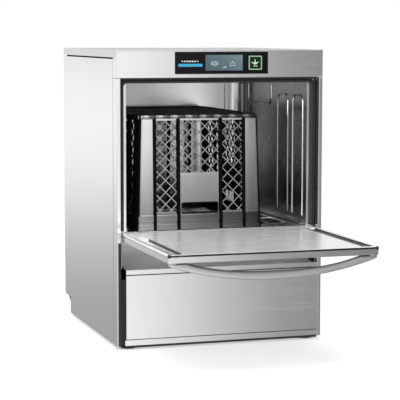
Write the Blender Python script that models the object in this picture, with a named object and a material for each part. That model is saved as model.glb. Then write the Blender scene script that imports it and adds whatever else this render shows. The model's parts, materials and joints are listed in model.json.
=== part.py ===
"""Undercounter commercial dishwasher with a drop-down door, and the wash crate that slides onto it.

Metres, +Z up, +X to the machine's right as seen from the front, front facing -Y.
Origin: centre of the casing's footprint, at the level of the base pan's underside.
The door is open (horizontal) and the crate is pushed home in the wash chamber.
"""

import math

import bmesh
import bpy
from mathutils import Matrix, Vector

# ---------------------------------------------------------------- driving dimensions
HALF_W = 0.3000          # casing half width
Y_FRONT = -0.3213        # front skin
Y_BACK = 0.3213          # rear skin
HEIGHT = 0.8150          # top of the cover above the base pan
SHEET = 0.0012           # sheet steel
GAP = 0.0003             # least gap between separate pieces

COVER_APRON_Z = 0.7940   # lower edge of the top cover's side apron
FASCIA_Z = 0.7390        # lower edge of the control fascia
FASCIA_TOP = 0.8112
RETURN_Y = -0.2815       # rear end of the front pieces' side returns
LOWER_RIGHT = 0.2885     # right end of the lower front pieces

PIVOT_Y = -0.3160        # door hinge axis
PIVOT_Z = 0.2970
PIN_R = 0.0025           # hinge pins and spring pegs
PIN_HOLE_R = 0.0028
LEVER_PEG = (-0.2130, 0.3000)     # (y, z) of the spring's upper peg
BRACKET_PEG = (-0.2450, 0.0750)   # (y, z) of its lower peg

CHAMBER_X = 0.2655       # wash chamber inner half width
CHAMBER_BACK = 0.2500
CHAMBER_CORNER_R = 0.0450
TANK_FRONT = -0.2885     # front of the tank's mouth
HOOD_FRONT = -0.2700     # inner front above the loading opening
SILL_Z = 0.3152          # chamber sill level
OPEN_TOP = 0.7235        # top of the loading opening
CEILING_Z = 0.7830
BASIN = (-0.2500, 0.2500, -0.2256, CHAMBER_BACK)   # inner x0, x1, y0, y1
BASIN_FLOOR = 0.2000
BASIN_CORNER_R = 0.028

ARM_CENTRE = (0.0, 0.0120)    # (x, y) of the spray arm axis
ARM_R = 0.2300
SUMP = (0.0, 0.150)           # (x, y) of the round sump
STANDPIPE = (0.205, 0.205)    # (x, y) of the overflow standpipe

FEET = {
    "foot_front_left": (-0.262, -0.288),
    "foot_front_right": (0.262, -0.288),
    "foot_rear_left": (-0.262, 0.218),
    "foot_rear_right": (0.262, 0.218),
}
SIDES = (("left", -1), ("right", 1))

# ---------------------------------------------------------------- scene and materials
for old in list(bpy.data.objects):
    bpy.data.objects.remove(old, do_unlink=True)
SCENE = bpy.context.scene.collection


def new_material(name, colour, roughness, metallic=0.0):
    mat = bpy.data.materials.new(name)
    mat.use_nodes = True
    shader = mat.node_tree.nodes["Principled BSDF"]
    shader.inputs["Base Color"].default_value = (*colour, 1.0)
    shader.inputs["Roughness"].default_value = roughness
    shader.inputs["Metallic"].default_value = metallic
    mat.diffuse_color = (*colour, 1.0)
    return mat


STEEL = new_material("brushed_stainless", (0.74, 0.74, 0.73), roughness=0.32, metallic=1.0)
SATIN = new_material("satin_stainless", (0.66, 0.66, 0.66), roughness=0.38, metallic=1.0)
BRIGHT = new_material("polished_bar", (0.82, 0.82, 0.82), roughness=0.20, metallic=1.0)
ZINC = new_material("zinc_plate", (0.42, 0.43, 0.44), roughness=0.45, metallic=1.0)
BLACK_GLASS = new_material("black_glass", (0.010, 0.011, 0.013), roughness=0.08)
SCREEN = new_material("display", (0.10, 0.16, 0.22), roughness=0.15)
BUTTON = new_material("button", (0.02, 0.05, 0.03), roughness=0.25)
BOARD = new_material("circuit_board", (0.03, 0.16, 0.08), roughness=0.55)
RUBBER = new_material("black_rubber", (0.016, 0.016, 0.017), roughness=0.65)
CRATE_PP = new_material("black_crate_plastic", (0.020, 0.020, 0.022), roughness=0.48)
HOSE = new_material("grey_hose", (0.16, 0.16, 0.17), roughness=0.60)
GREY_PP = new_material("grey_plastic", (0.30, 0.31, 0.33), roughness=0.50)
WHITE_PP = new_material("white_plastic", (0.75, 0.75, 0.73), roughness=0.45)
FOAM = new_material("door_foam", (0.78, 0.74, 0.60), roughness=0.90)
MOTOR = new_material("cast_motor", (0.35, 0.36, 0.37), roughness=0.55, metallic=0.9)


# ---------------------------------------------------------------- outlines and paths
def corner(point, before, after, radius, steps):
    """Points of the arc that rounds a corner between its neighbours."""
    point, before, after = Vector(point), Vector(before), Vector(after)
    back, ahead = (before - point).normalized(), (after - point).normalized()
    half = math.acos(max(-1.0, min(1.0, back.dot(ahead)))) / 2
    setback = radius / math.tan(half)
    centre = point + (back + ahead).normalized() * (radius / math.sin(half))
    start, end = point + back * setback - centre, point + ahead * setback - centre
    arc = []
    for k in range(steps + 1):
        t = k / steps
        arc.append(tuple(centre + (start * (1 - t) + end * t).normalized() * radius))
    return arc


def rounded(points, radii, steps=3):
    """A closed outline with each corner rounded to its own radius; 0 leaves it sharp."""
    out = []
    for i, (point, radius) in enumerate(zip(points, radii)):
        if radius <= 0:
            out.append(point)
        else:
            out += corner(point, points[i - 1], points[(i + 1) % len(points)], radius, steps)
    return out


def bent(points, radius, steps=4):
    """An open path with its inner corners rounded."""
    out = [points[0]]
    for before, point, after in zip(points, points[1:], points[2:]):
        out += corner(point, before, after, radius, steps)
    out.append(points[-1])
    return out


def rect(u0, u1, v0, v1, radius, steps=3):
    return rounded([(u0, v0), (u1, v0), (u1, v1), (u0, v1)], [radius] * 4, steps)


def grown(box, by):
    """A (u0, u1, v0, v1) box with every side moved outwards."""
    u0, u1, v0, v1 = box
    return u0 - by, u1 + by, v0 - by, v1 + by


def circle(cu, cv, radius, segments):
    angles = [2 * math.pi * k / segments for k in range(segments)]
    return [(cu + radius * math.cos(a), cv + radius * math.sin(a)) for a in angles]


def span(sign, a, b):
    """The interval a..b on the right (sign 1) or mirrored to the left (sign -1)."""
    return sorted((sign * a, sign * b))


def spot(axis, u, v, w):
    """(u, v) across the axis, w along it: X takes (y, z), Y takes (x, z), Z takes (x, y)."""
    return {"X": (w, u, v), "Y": (u, w, v), "Z": (u, v, w)}[axis]


# ---------------------------------------------------------------- solids
def place(name, bm, finish):
    """The bmesh as an object, with its faces turned outwards."""
    bmesh.ops.remove_doubles(bm, verts=bm.verts, dist=1e-7)
    bmesh.ops.recalc_face_normals(bm, faces=bm.faces)
    mesh = bpy.data.meshes.new(name)
    bm.to_mesh(mesh)
    bm.free()
    if finish:
        mesh.materials.append(finish)
    ob = bpy.data.objects.new(name, mesh)
    SCENE.objects.link(ob)
    return ob


def loft(name, sections, finish=None):
    """A solid through a list of point rings, capped at both ends."""
    bm = bmesh.new()
    rings = [[bm.verts.new(p) for p in section] for section in sections]
    bm.faces.new(rings[0])
    bm.faces.new(rings[-1])
    count = len(rings[0])
    for a, b in zip(rings, rings[1:]):
        for k in range(count):
            j = (k + 1) % count
            bm.faces.new((a[k], a[j], b[j], b[k]))
    return place(name, bm, finish)


def prism(name, outline, axis, start, end, finish=None):
    return loft(name, [[spot(axis, u, v, w) for u, v in outline] for w in (start, end)], finish)


def block(name, x, y, z, finish=None):
    return prism(name, [(x[0], y[0]), (x[1], y[0]), (x[1], y[1]), (x[0], y[1])], "Z", *z, finish)


def rod(name, axis, centre, radius, start, end, segments=16, finish=None):
    return prism(name, circle(*centre, radius, segments), axis, start, end, finish)


def turned(name, axis, centre, segments, finish, profile):
    """A profile of (radius, height) pairs turned about an axis; radius 0 closes it."""
    bm = bmesh.new()
    rings = []
    for radius, height in profile:
        outline = circle(*centre, radius, segments) if radius > 0 else [centre]
        rings.append([bm.verts.new(spot(axis, u, v, height)) for u, v in outline])
    pairs = list(zip(rings, rings[1:]))
    if profile[0][0] > 0:
        pairs.append((rings[-1], rings[0]))
    for a, b in pairs:
        for k in range(segments):
            j = (k + 1) % segments
            quad = (a[k % len(a)], a[j % len(a)], b[j % len(b)], b[k % len(b)])
            distinct = list(dict.fromkeys(quad))
            if len(distinct) > 2:
                bm.faces.new(distinct)
    return smooth(place(name, bm, finish))


def swept(name, path, radius, segments, finish, sharp_angle=35):
    """A round bar along a list of points."""
    points = [Vector(p) for p in path]
    last = len(points) - 1
    side = (points[1] - points[0]).normalized().orthogonal().normalized()
    sections = []
    for i, point in enumerate(points):
        along = (points[min(i + 1, last)] - points[max(i - 1, 0)]).normalized()
        side = (side - along * side.dot(along)).normalized()
        up = along.cross(side)
        sections.append([point + side * u + up * v for u, v in circle(0, 0, radius, segments)])
    return smooth(loft(name, sections, finish), sharp_angle)


def combine(ob, tool, operation):
    """Applies one boolean, keeps the object's own materials and removes the tool."""
    mod = ob.modifiers.new("combine", "BOOLEAN")
    mod.operation = operation
    mod.object = tool
    bpy.context.view_layer.update()
    graph = bpy.context.evaluated_depsgraph_get()
    mesh = bpy.data.meshes.new_from_object(ob.evaluated_get(graph))
    ob.modifiers.clear()
    finishes = list(ob.data.materials)
    ob.data = mesh
    mesh.materials.clear()
    for finish in finishes:
        mesh.materials.append(finish)
    bpy.data.objects.remove(tool, do_unlink=True)


def add(ob, *tools):
    for tool in tools:
        combine(ob, tool, "UNION")


def cut(ob, *tools):
    for tool in tools:
        combine(ob, tool, "DIFFERENCE")


def pivot(name, at):
    empty = bpy.data.objects.new(name, None)
    empty.empty_display_size = 0.05
    empty.location = at
    SCENE.objects.link(empty)
    return empty


def hang(ob, empty):
    """Parents a piece to its joint's empty, with the piece's own origin on the joint."""
    ob.data.transform(Matrix.Translation(-Vector(empty.location)))
    ob.parent = empty


def smooth(ob, angle=35):
    ob.data.shade_smooth()
    ob.data.set_sharp_from_angle(angle=math.radians(angle))
    return ob


# ---------------------------------------------------------------- top cover and controls
GLASS_BOX = (-0.1350, 0.1350, 0.7490, 0.8090)    # x0, x1, z0, z1
SCREEN_BOX = (-0.0470, 0.0610, 0.7580, 0.8010)
BUTTON_BOX = (0.0770, 0.1190, 0.7580, 0.8000)
WINDOW_GAP = 0.0005      # around the glass, the screen and the button
THROUGH_FRONT = (-0.33, -0.31)   # y reach of cuts through the face


def make_top_cover():
    """A shallow lid, its front cut back so that the fascia's face reaches almost to the top."""
    cover = block("top_cover", (-HALF_W, HALF_W), (Y_FRONT, Y_BACK), (COVER_APRON_Z, HEIGHT), STEEL)
    inner_x = HALF_W - SHEET
    cut(cover,
        block("tool", (-inner_x, inner_x), (Y_FRONT + SHEET, Y_BACK - SHEET),
              (0.78, HEIGHT - SHEET)),
        block("tool", (-0.32, 0.32), (-0.34, Y_FRONT + SHEET + 0.0005), (0.78, FASCIA_TOP + GAP)))


def make_control_fascia():
    """A face with two side returns, a bottom flange and a window for the glass."""
    inner_x, inner_y = HALF_W - SHEET, Y_FRONT + SHEET
    folded = rounded(
        [(-HALF_W, RETURN_Y), (-HALF_W, Y_FRONT), (HALF_W, Y_FRONT), (HALF_W, RETURN_Y),
         (inner_x, RETURN_Y), (inner_x, inner_y), (-inner_x, inner_y), (-inner_x, RETURN_Y)],
        [0, 0.0015, 0.0015, 0, 0, 0, 0, 0])
    face = rounded([(-HALF_W, Y_FRONT), (HALF_W, Y_FRONT), (HALF_W, inner_y), (-HALF_W, inner_y)],
                   [0.0011, 0.0011, 0, 0])
    overlap = 0.0006     # the flange starts inside the face and returns
    fascia = prism("control_fascia", folded, "Z", FASCIA_Z, COVER_APRON_Z - GAP, STEEL)
    add(fascia,
        prism("tool", face, "Z", 0.780, FASCIA_TOP),
        block("tool", (-HALF_W + overlap, HALF_W - overlap), (Y_FRONT + overlap, RETURN_Y),
              (FASCIA_Z, FASCIA_Z + SHEET)))
    cut(fascia, prism("tool", rect(*grown(GLASS_BOX, WINDOW_GAP), 0.002), "Y", *THROUGH_FRONT))


def make_controls():
    def front_plate(name, box, radius, proud, depth, finish):
        """A plate standing proud of the front skin and reaching depth behind it."""
        return prism(name, rect(*box, radius), "Y", Y_FRONT - proud, Y_FRONT + depth, finish)

    glass = front_plate("control_glass", GLASS_BOX, 0.0018, 0.0004, 0.0026, BLACK_GLASS)
    for box, radius in ((SCREEN_BOX, 0.001), (BUTTON_BOX, 0.0025)):
        cut(glass, prism("tool", rect(*grown(box, WINDOW_GAP), radius), "Y", *THROUGH_FRONT))
    front_plate("display_screen", SCREEN_BOX, 0.0008, 0.0001, 0.0049, SCREEN)
    button = front_plate("start_button", BUTTON_BOX, 0.0022, 0.0002, 0.0058, BUTTON)
    hang(button, pivot("start_button_axis", (0.098, Y_FRONT, 0.779)))

    housing = block("control_housing", (-0.141, 0.141), (-0.3198, -0.2980), (0.7415, 0.8125),
                    GREY_PP)
    cut(housing, block("tool", (-0.138, 0.138), (-0.33, -0.3000), (0.7445, 0.8095)))
    block("control_board", (-0.132, 0.132), (-0.3130, -0.3114), (0.7500, 0.8060), BOARD)


# ---------------------------------------------------------------- casing
def side_outline(inset):
    """The side panel's outline, with the service recess at the rear foot."""
    y_front, y_recess, y_back = -0.2775 + inset, 0.2490 - inset, Y_BACK - inset
    z_low, z_recess, z_top = inset, 0.0500 + inset, COVER_APRON_Z - 0.0040 - inset
    radius = 0.0100 - inset
    return rounded([(y_front, z_low), (y_recess, z_low), (y_recess, z_recess),
                    (y_back, z_recess), (y_back, z_top), (y_front, z_top)],
                   [0, radius, 0, radius, 0, 0])


def make_side(side, sign):
    """A side panel open towards the inside, and the folded post in front of it."""
    panel = prism(f"{side}_side_panel", side_outline(0.0), "X", *span(sign, HALF_W, 0.2920), STEEL)
    cut(panel, prism("tool", side_outline(SHEET), "X", *span(sign, HALF_W - SHEET, 0.2900)))

    fold = [(HALF_W, RETURN_Y), (HALF_W, Y_FRONT), (0.2890, Y_FRONT), (0.2890, -0.3000),
            (0.2902, -0.3000), (0.2902, Y_FRONT + SHEET),
            (HALF_W - SHEET, Y_FRONT + SHEET), (HALF_W - SHEET, RETURN_Y)]
    post = rounded([(sign * x, y) for x, y in fold], [0, 0.0015, 0.0012, 0, 0, 0, 0, 0])
    prism(f"{side}_front_post", post, "Z", 0.0, FASCIA_Z - 0.0015, STEEL)


def make_rear_panel():
    """One folded sheet, stepped forward at the foot over the hose and cable outlets."""
    panel = prism(
        "rear_panel",
        [(0.2502, 0.0), (0.2502, 0.0520), (0.3212, 0.0520), (0.3212, 0.7936),
         (0.3200, 0.7936), (0.3200, 0.0532), (0.2490, 0.0532), (0.2490, 0.0)],
        "X", -0.2905, 0.2905, STEEL)
    # centre (x, z), radius, segments
    for centre, radius, segments in (((0.190, 0.030), 0.0120, 16),
                                     ((-0.190, 0.030), 0.0100, 16),
                                     ((-0.100, 0.028), 0.0065, 12)):
        cut(panel, rod("tool", "Y", centre, radius, 0.24, 0.26, segments))


def make_base_pan():
    """A tray with a pressed-down middle and a collar for each foot."""
    pan = block("base_pan", (-0.2890, 0.2890), (-0.3050, 0.2470), (0.0040, 0.0200), STEEL)
    cut(pan, block("tool", (-0.2878, 0.2878), (-0.3038, 0.2458), (0.0052, 0.03)))
    add(pan, block("tool", (-0.160, 0.160), (-0.160, 0.160), (0.0, 0.0050)))
    cut(pan, block("tool", (-0.1588, 0.1588), (-0.1588, 0.1588), (0.0012, 0.0100)))
    add(pan, *[rod("tool", "Z", xy, 0.0110, 0.0040, 0.0320, 14) for xy in FEET.values()])
    cut(pan, *[rod("tool", "Z", xy, 0.0056, -0.01, 0.05, 12) for xy in FEET.values()])


def make_feet():
    for name, xy in FEET.items():
        foot = turned(name, "Z", xy, 14, RUBBER,
                      [(0, -0.0090), (0.0205, -0.0090), (0.0220, -0.0075), (0.0220, -0.0025),
                       (0.0180, -0.0010), (0.0050, -0.0010), (0.0050, 0.0360), (0, 0.0360)])
        hang(foot, pivot(f"{name}_axis", (*xy, 0.0)))


def make_lower_front():
    """Lower panel and plinth: they end close to the right post, with a wider gap at the left."""
    left, back = -0.2750, -0.3063
    inner_left, inner_right = -0.2738, LOWER_RIGHT - SHEET
    outer = rounded([(left, back), (left, Y_FRONT), (LOWER_RIGHT, Y_FRONT), (LOWER_RIGHT, back)],
                    [0, 0.004, 0.0008, 0])
    inner = rounded([(inner_left, -0.3000), (inner_left, Y_FRONT + SHEET),
                     (inner_right, Y_FRONT + SHEET), (inner_right, -0.3000)], [0, 0.0028, 0, 0])
    panel = prism("lower_front_panel", outer, "Z", 0.0195, 0.1970, STEEL)
    cut(panel, prism("tool", inner, "Z", 0.0207, 0.1958))
    # notch in the top flange for the right hinge plate's tail and its peg when the door is shut
    cut(panel, block("tool", (0.2736, 0.2842), (-0.3200, -0.3000), (0.1900, 0.2000)))

    prism("plinth_strip",
          [(Y_FRONT, 0.0020), (-0.3165, 0.0020), (-0.3165, 0.0032),
           (Y_FRONT + SHEET, 0.0032), (Y_FRONT + SHEET, 0.0175), (Y_FRONT, 0.0175)],
          "X", -0.2780, LOWER_RIGHT, STEEL)


def make_door_sill():
    """A front lip and a quarter-round drip trough that the door's tail swings in."""
    def trough(radius):
        angles = [math.radians(-90 + 84 * k / 8) for k in range(9)]
        return [(PIVOT_Y + radius * math.cos(a), PIVOT_Z + radius * math.sin(a)) for a in angles]

    outline = ([(-0.3210, 0.1995), (-0.3210, 0.2125)] + trough(0.0845) + trough(0.0855)[::-1]
               + [(-0.3200, 0.2115), (-0.3200, 0.1995)])
    sill = prism("door_sill", outline, "X", -0.2745, 0.2745, STEEL)
    add(sill, block("tool", (0.2700, LOWER_RIGHT), (-0.3210, -0.3200), (0.1995, 0.2125)))


# ---------------------------------------------------------------- wash chamber
def chamber_plan(grow, front):
    x, back, radius = CHAMBER_X + grow, CHAMBER_BACK + grow, CHAMBER_CORNER_R + grow
    return rounded([(-x, front), (x, front), (x, back), (-x, back)], [0, 0, radius, radius], 5)


def basin_plan(grow):
    return rect(*grown(BASIN, grow), BASIN_CORNER_R + grow)


def make_wash_tank():
    """Chamber, basin and sump in one welded shell, with a front frame and rack lugs."""
    sheet_under_sill = SILL_Z - SHEET
    tank = prism("wash_tank", chamber_plan(SHEET, TANK_FRONT), "Z",
                 sheet_under_sill, OPEN_TOP + SHEET, SATIN)
    add(tank,
        prism("tool", chamber_plan(SHEET, HOOD_FRONT - SHEET), "Z", 0.7100, CEILING_Z + SHEET),
        prism("tool", basin_plan(SHEET), "Z", BASIN_FLOOR - SHEET, SILL_Z - 0.0004),
        rod("tool", "Z", SUMP, 0.0562, 0.1488, 0.2010, 20),
        block("tool", (-0.2880, 0.2880), (TANK_FRONT, -0.2873), (sheet_under_sill, 0.7380)),
        block("tool", (-0.2667, 0.2667), (-0.2985, -0.2875), (sheet_under_sill, SILL_Z)))
    cut(tank,
        prism("tool", chamber_plan(0.0, -0.3100), "Z", SILL_Z, OPEN_TOP),
        prism("tool", chamber_plan(0.0, HOOD_FRONT), "Z", 0.7000, CEILING_Z),
        prism("tool", basin_plan(0.0), "Z", BASIN_FLOOR, 0.3300),
        rod("tool", "Z", SUMP, 0.0550, 0.1500, 0.2100, 20),
        rod("tool", "Z", STANDPIPE, 0.0090, 0.19, 0.21, 12))
    for sign in (-1, 1):
        for y in (-0.150, 0.130):
            add(tank, block("tool", span(sign, 0.2380, 0.2506), (y - 0.010, y + 0.010),
                            (0.3010, 0.3086)))


def make_door_seal():
    """A three-sided seal around the loading opening, open at the sill."""
    outer_x, inner_x, low, top = 0.2885, 0.2735, 0.3170, 0.7380
    prism("door_seal",
          [(-outer_x, low), (-inner_x, low), (-inner_x, OPEN_TOP), (inner_x, OPEN_TOP),
           (inner_x, low), (outer_x, low), (outer_x, top), (-outer_x, top)],
          "Y", -0.2990, -0.2890, RUBBER)


def make_rack_frame():
    """Runners and cross bars that carry a rack or crate above the lower arms."""
    frame = prism("rack_frame", rect(-0.2470, 0.2470, -0.2200, 0.2440, 0.030), "Z",
                  0.3090, 0.3150, BRIGHT)
    openings_x = [(-0.2330, -0.1240), (-0.1160, -0.0040), (0.0040, 0.1240), (0.1340, 0.2330)]
    openings_y = [(-0.2080, -0.0640), (-0.0560, 0.0860), (0.0940, 0.2320)]
    for xs in openings_x:
        for ys in openings_y:
            cut(frame, prism("tool", rect(*xs, *ys, 0.012, 2), "Z", 0.30, 0.32))


def make_basin_fittings():
    """Filter plate, sump strainer, overflow standpipe and heating element."""
    plate = prism("tank_filter", rect(*grown(BASIN, -0.0012), 0.0275), "Z", 0.2340, 0.2356, SATIN)
    for centre, radius, segments in ((ARM_CENTRE, 0.0135, 16), (STANDPIPE, 0.0165, 16),
                                     (SUMP, 0.0465, 20)):
        cut(plate, rod("tool", "Z", centre, radius, 0.22, 0.25, segments))

    turned("sump_strainer", "Z", SUMP, 20, SATIN,
           [(0, 0.1560), (0.0440, 0.1560), (0.0440, 0.2360), (0.0510, 0.2360),
            (0.0510, 0.2380), (0.0424, 0.2380), (0.0424, 0.1576), (0, 0.1576)])
    standpipe = turned("overflow_standpipe", "Z", STANDPIPE, 14, GREY_PP,
                       [(0.0090, 0.2004), (0.0140, 0.2004), (0.0120, 0.2120), (0.0120, 0.2900),
                        (0.0140, 0.2960), (0.0140, 0.3000), (0.0110, 0.3000), (0.0095, 0.2900)])
    hang(standpipe, pivot("standpipe_axis", (*STANDPIPE, BASIN_FLOOR)))

    back, front, z = 0.2490, -0.160, 0.2180
    loop = [(-0.210, back, z), (-0.210, front, z), (-0.150, front, z), (-0.150, back, z)]
    swept("tank_heating_element", bent(loop, 0.022), 0.0042, 8, BRIGHT)


# ---------------------------------------------------------------- spray arms
WASH_SHAPE = (0.0170, 0.0120, 0.0210)    # half width near the hub, at the tip; hub radius
RINSE_SHAPE = (0.0080, 0.0065, 0.0170)
SPRAY_ARMS = (                           # name, underside z, top z, shape
    ("lower_wash_arm", 0.2612, 0.2780, WASH_SHAPE),
    ("lower_rinse_arm", 0.2812, 0.2920, RINSE_SHAPE),
    ("upper_wash_arm", 0.7470, 0.7638, WASH_SHAPE),
    ("upper_rinse_arm", 0.7328, 0.7436, RINSE_SHAPE),
)


def make_spindles():
    turned("lower_spindle", "Z", ARM_CENTRE, 16, GREY_PP,
           [(0, 0.2003), (0.0220, 0.2003), (0.0220, 0.2050), (0.0120, 0.2070), (0.0120, 0.2550),
            (0.0190, 0.2560), (0.0190, 0.2600), (0.0120, 0.2600), (0.0120, 0.2950),
            (0.0180, 0.2950), (0.0180, 0.2990), (0.0120, 0.3030), (0, 0.3030)])
    turned("upper_spindle", "Z", ARM_CENTRE, 16, GREY_PP,
           [(0, 0.7827), (0.0240, 0.7827), (0.0240, 0.7790), (0.0120, 0.7770), (0.0120, 0.7700),
            (0.0190, 0.7690), (0.0190, 0.7650), (0.0120, 0.7650), (0.0120, 0.7310),
            (0.0180, 0.7310), (0.0180, 0.7280), (0.0120, 0.7250), (0, 0.7250)])


def make_spray_arm(name, low, top, shape):
    """A flat bar, widest near the hub, with rounded tips, turning on its spindle."""
    half_mid, half_end, hub_r = shape
    y = ARM_CENTRE[1]
    outline = []
    for sign in (1, -1):
        for k in range(-3, 4):
            a = math.radians(k * 30)
            outline.append((sign * (ARM_R - half_end + half_end * math.cos(a)),
                            y + sign * half_end * math.sin(a)))
        outline += [(sign * 0.06, y + sign * half_mid), (-sign * 0.06, y + sign * half_mid)]
    arm = prism(name, outline, "Z", low, top, GREY_PP)
    add(arm, rod("tool", "Z", ARM_CENTRE, hub_r, low - 0.0004, top + 0.0006, 18))
    cut(arm, rod("tool", "Z", ARM_CENTRE, 0.0126, low - 0.01, top + 0.01))
    hang(arm, pivot(f"{name}_axis", (*ARM_CENTRE, low)))


# ---------------------------------------------------------------- water and power circuits
def make_wash_circuit():
    pump_axis = (-0.020, 0.085)    # (y, z)
    turned("wash_pump_volute", "X", pump_axis, 20, GREY_PP,
           [(0, -0.0555), (0.0560, -0.0555), (0.0600, -0.0500), (0.0600, -0.0220),
            (0.0540, -0.0170), (0.0240, -0.0150), (0.0200, -0.0100), (0, -0.0100)])
    turned("wash_pump_motor", "X", pump_axis, 20, MOTOR,
           [(0, -0.2060), (0.0380, -0.2060), (0.0480, -0.2000), (0.0480, -0.1780),
            (0.0520, -0.1760), (0.0520, -0.0680), (0.0300, -0.0660), (0.0300, -0.0560),
            (0, -0.0560)])
    suction = [(0.020, 0.150, 0.1484), (0.020, 0.150, 0.085),
               (0.020, -0.020, 0.085), (-0.0095, -0.020, 0.085)]
    swept("suction_hose", bent(suction, 0.020), 0.0140, 12, HOSE)
    pressure = [(-0.034, -0.020, 0.1458), (-0.034, -0.020, 0.152), (-0.018, -0.005, 0.170),
                (-0.003, 0.009, 0.186), (0.0, 0.012, 0.1935), (0.0, 0.012, 0.1980)]
    swept("pressure_hose", pressure, 0.0100, 12, HOSE)
    feed = [(-0.034, 0.0412, 0.100), (-0.034, 0.2850, 0.100),
            (-0.034, 0.2850, 0.7990), (0.0, 0.0, 0.7990)]
    swept("wash_feed_pipe", bent(feed, 0.028), 0.0110, 12, SATIN)


def make_rinse_boiler():
    """A 2 mm shell with domed ends; the port in its front dome opens the inside."""
    turned("rinse_boiler", "Y", (0.155, 0.098), 22, SATIN,
           [(0.0080, -0.2075), (0.0350, -0.2060), (0.0620, -0.1950), (0.0750, -0.1780),
            (0.0750, 0.0780), (0.0620, 0.0950), (0.0350, 0.1040), (0, 0.1060),
            (0, 0.1040), (0.0340, 0.1020), (0.0605, 0.0935), (0.0730, 0.0770),
            (0.0730, -0.1770), (0.0605, -0.1935), (0.0340, -0.2040), (0.0080, -0.2055)])


def make_drain_and_services():
    turned("drain_pump", "Y", (0.190, 0.046), 18, GREY_PP,
           [(0, 0.1200), (0.0240, 0.1200), (0.0240, 0.1580), (0.0320, 0.1600),
            (0.0320, 0.1960), (0.0280, 0.2000), (0, 0.2000)])
    block("inlet_valve", (-0.206, -0.174), (0.186, 0.2355), (0.0130, 0.0560), WHITE_PP)
    block("power_module", (-0.250, -0.080), (0.045, 0.165), (0.0150, 0.1300), GREY_PP)
    # name, centre (x, z), radius, front y, segments, finish; all end behind the rear panel's step
    for name, centre, radius, front, segments, finish in (
            ("drain_hose", (0.190, 0.030), 0.0100, 0.2005, 14, HOSE),
            ("inlet_hose", (-0.190, 0.030), 0.0080, 0.2360, 12, HOSE),
            ("power_cable", (-0.100, 0.028), 0.0050, 0.1655, 10, RUBBER)):
        smooth(rod(name, "Y", centre, radius, front, 0.3120, segments, finish))
    for name, low in (("detergent_dosing_pump", 0.0300), ("rinse_aid_dosing_pump", 0.1000)):
        pump = block(name, (-0.250, -0.205), (-0.262, -0.215), (low, low + 0.0550), WHITE_PP)
        add(pump, rod("tool", "Y", (-0.2275, low + 0.0275), 0.0180, -0.2720, -0.2610, 14))


# ---------------------------------------------------------------- door, open at rest
DOOR_HALF_W = 0.2840
DOOR_OUT_Z = 0.2920      # outer skin of the open door (faces down)
DOOR_IN_Z = 0.3135       # inner skin of the open door (faces up)
DOOR_TIP_Y = -0.7565     # top edge of the door, foremost when open
DOOR_TAIL_Y = -0.2360    # tail behind the hinge, inside the casing when open
DOOR_SHEET = 0.0010
PLATE_Z = (0.2934, 0.3068)   # hinge plates and foam, inside the door


def door_outline(inset):
    x, tip, tail = DOOR_HALF_W - inset, DOOR_TIP_Y + inset, DOOR_TAIL_Y - inset
    radius = 0.0030 - inset
    return rounded([(-x, tip), (x, tip), (x, tail), (-x, tail)], [radius, radius, 0, 0])


def make_door_panels(door_axis):
    """Two facing trays with foam between them."""
    outer = prism("door_outer_panel", door_outline(0.0), "Z", DOOR_OUT_Z, 0.3070, STEEL)
    cut(outer, prism("tool", door_outline(DOOR_SHEET), "Z", DOOR_OUT_Z + DOOR_SHEET, 0.3200))
    for sign in (-1, 1):
        # clearance for the hinge pin in the side wall, and for the hinge plate in the tail wall
        cut(outer,
            block("tool", span(sign, 0.2820, 0.2860), (PIVOT_Y - 0.0034, PIVOT_Y + 0.0034),
                  (DOOR_OUT_Z + 0.0012, 0.3200)),
            block("tool", span(sign, 0.2788, 0.2827), (-0.2400, -0.2300),
                  (DOOR_OUT_Z + 0.0011, 0.3200)))
    inner = prism("door_inner_panel", door_outline(0.0), "Z", 0.3075, DOOR_IN_Z, SATIN)
    cut(inner, prism("tool", door_outline(DOOR_SHEET), "Z", 0.3000, DOOR_IN_Z - SHEET))
    foam = block("door_insulation", (-0.2745, 0.2745), (-0.7540, -0.2390), PLATE_Z, FOAM)
    for ob in (outer, inner, foam):
        hang(ob, door_axis)


def handle_edges(s):
    """Lower and upper z of the bow handle at s = -1..1 along its span.

    Beyond 0.84 the upper edge runs level, close under the door.
    """
    low = 0.2830 - 0.0410 * (1 - s * s) - 0.0034 * math.sqrt(max(0.0, 1 - s * s))
    top = 0.2914 if abs(s) > 0.84 else 0.2626 + 0.0288 * (abs(s) / 0.84) ** 2.6
    return low, top


def make_door_handle(door_axis):
    """A bowed bar of chamfered section, lowest in the middle, with wedge-shaped ends."""
    half_span, centre_y, half_y = 0.2790, -0.7495, 0.0070
    flat = 0.35          # share of each side left flat between the chamfers
    octagon = ((1, flat), (flat, 1), (-flat, 1), (-1, flat),
               (-1, -flat), (-flat, -1), (flat, -1), (1, -flat))
    sections = []
    for k in range(25):
        s = 2 * k / 24 - 1
        low, top = handle_edges(s)
        mid_z, half_z = (low + top) / 2, (top - low) / 2
        sections.append([(half_span * s, centre_y + half_y * u, mid_z + half_z * v)
                         for u, v in octagon])
    hang(smooth(loft("door_handle", sections, BRIGHT)), door_axis)


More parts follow.
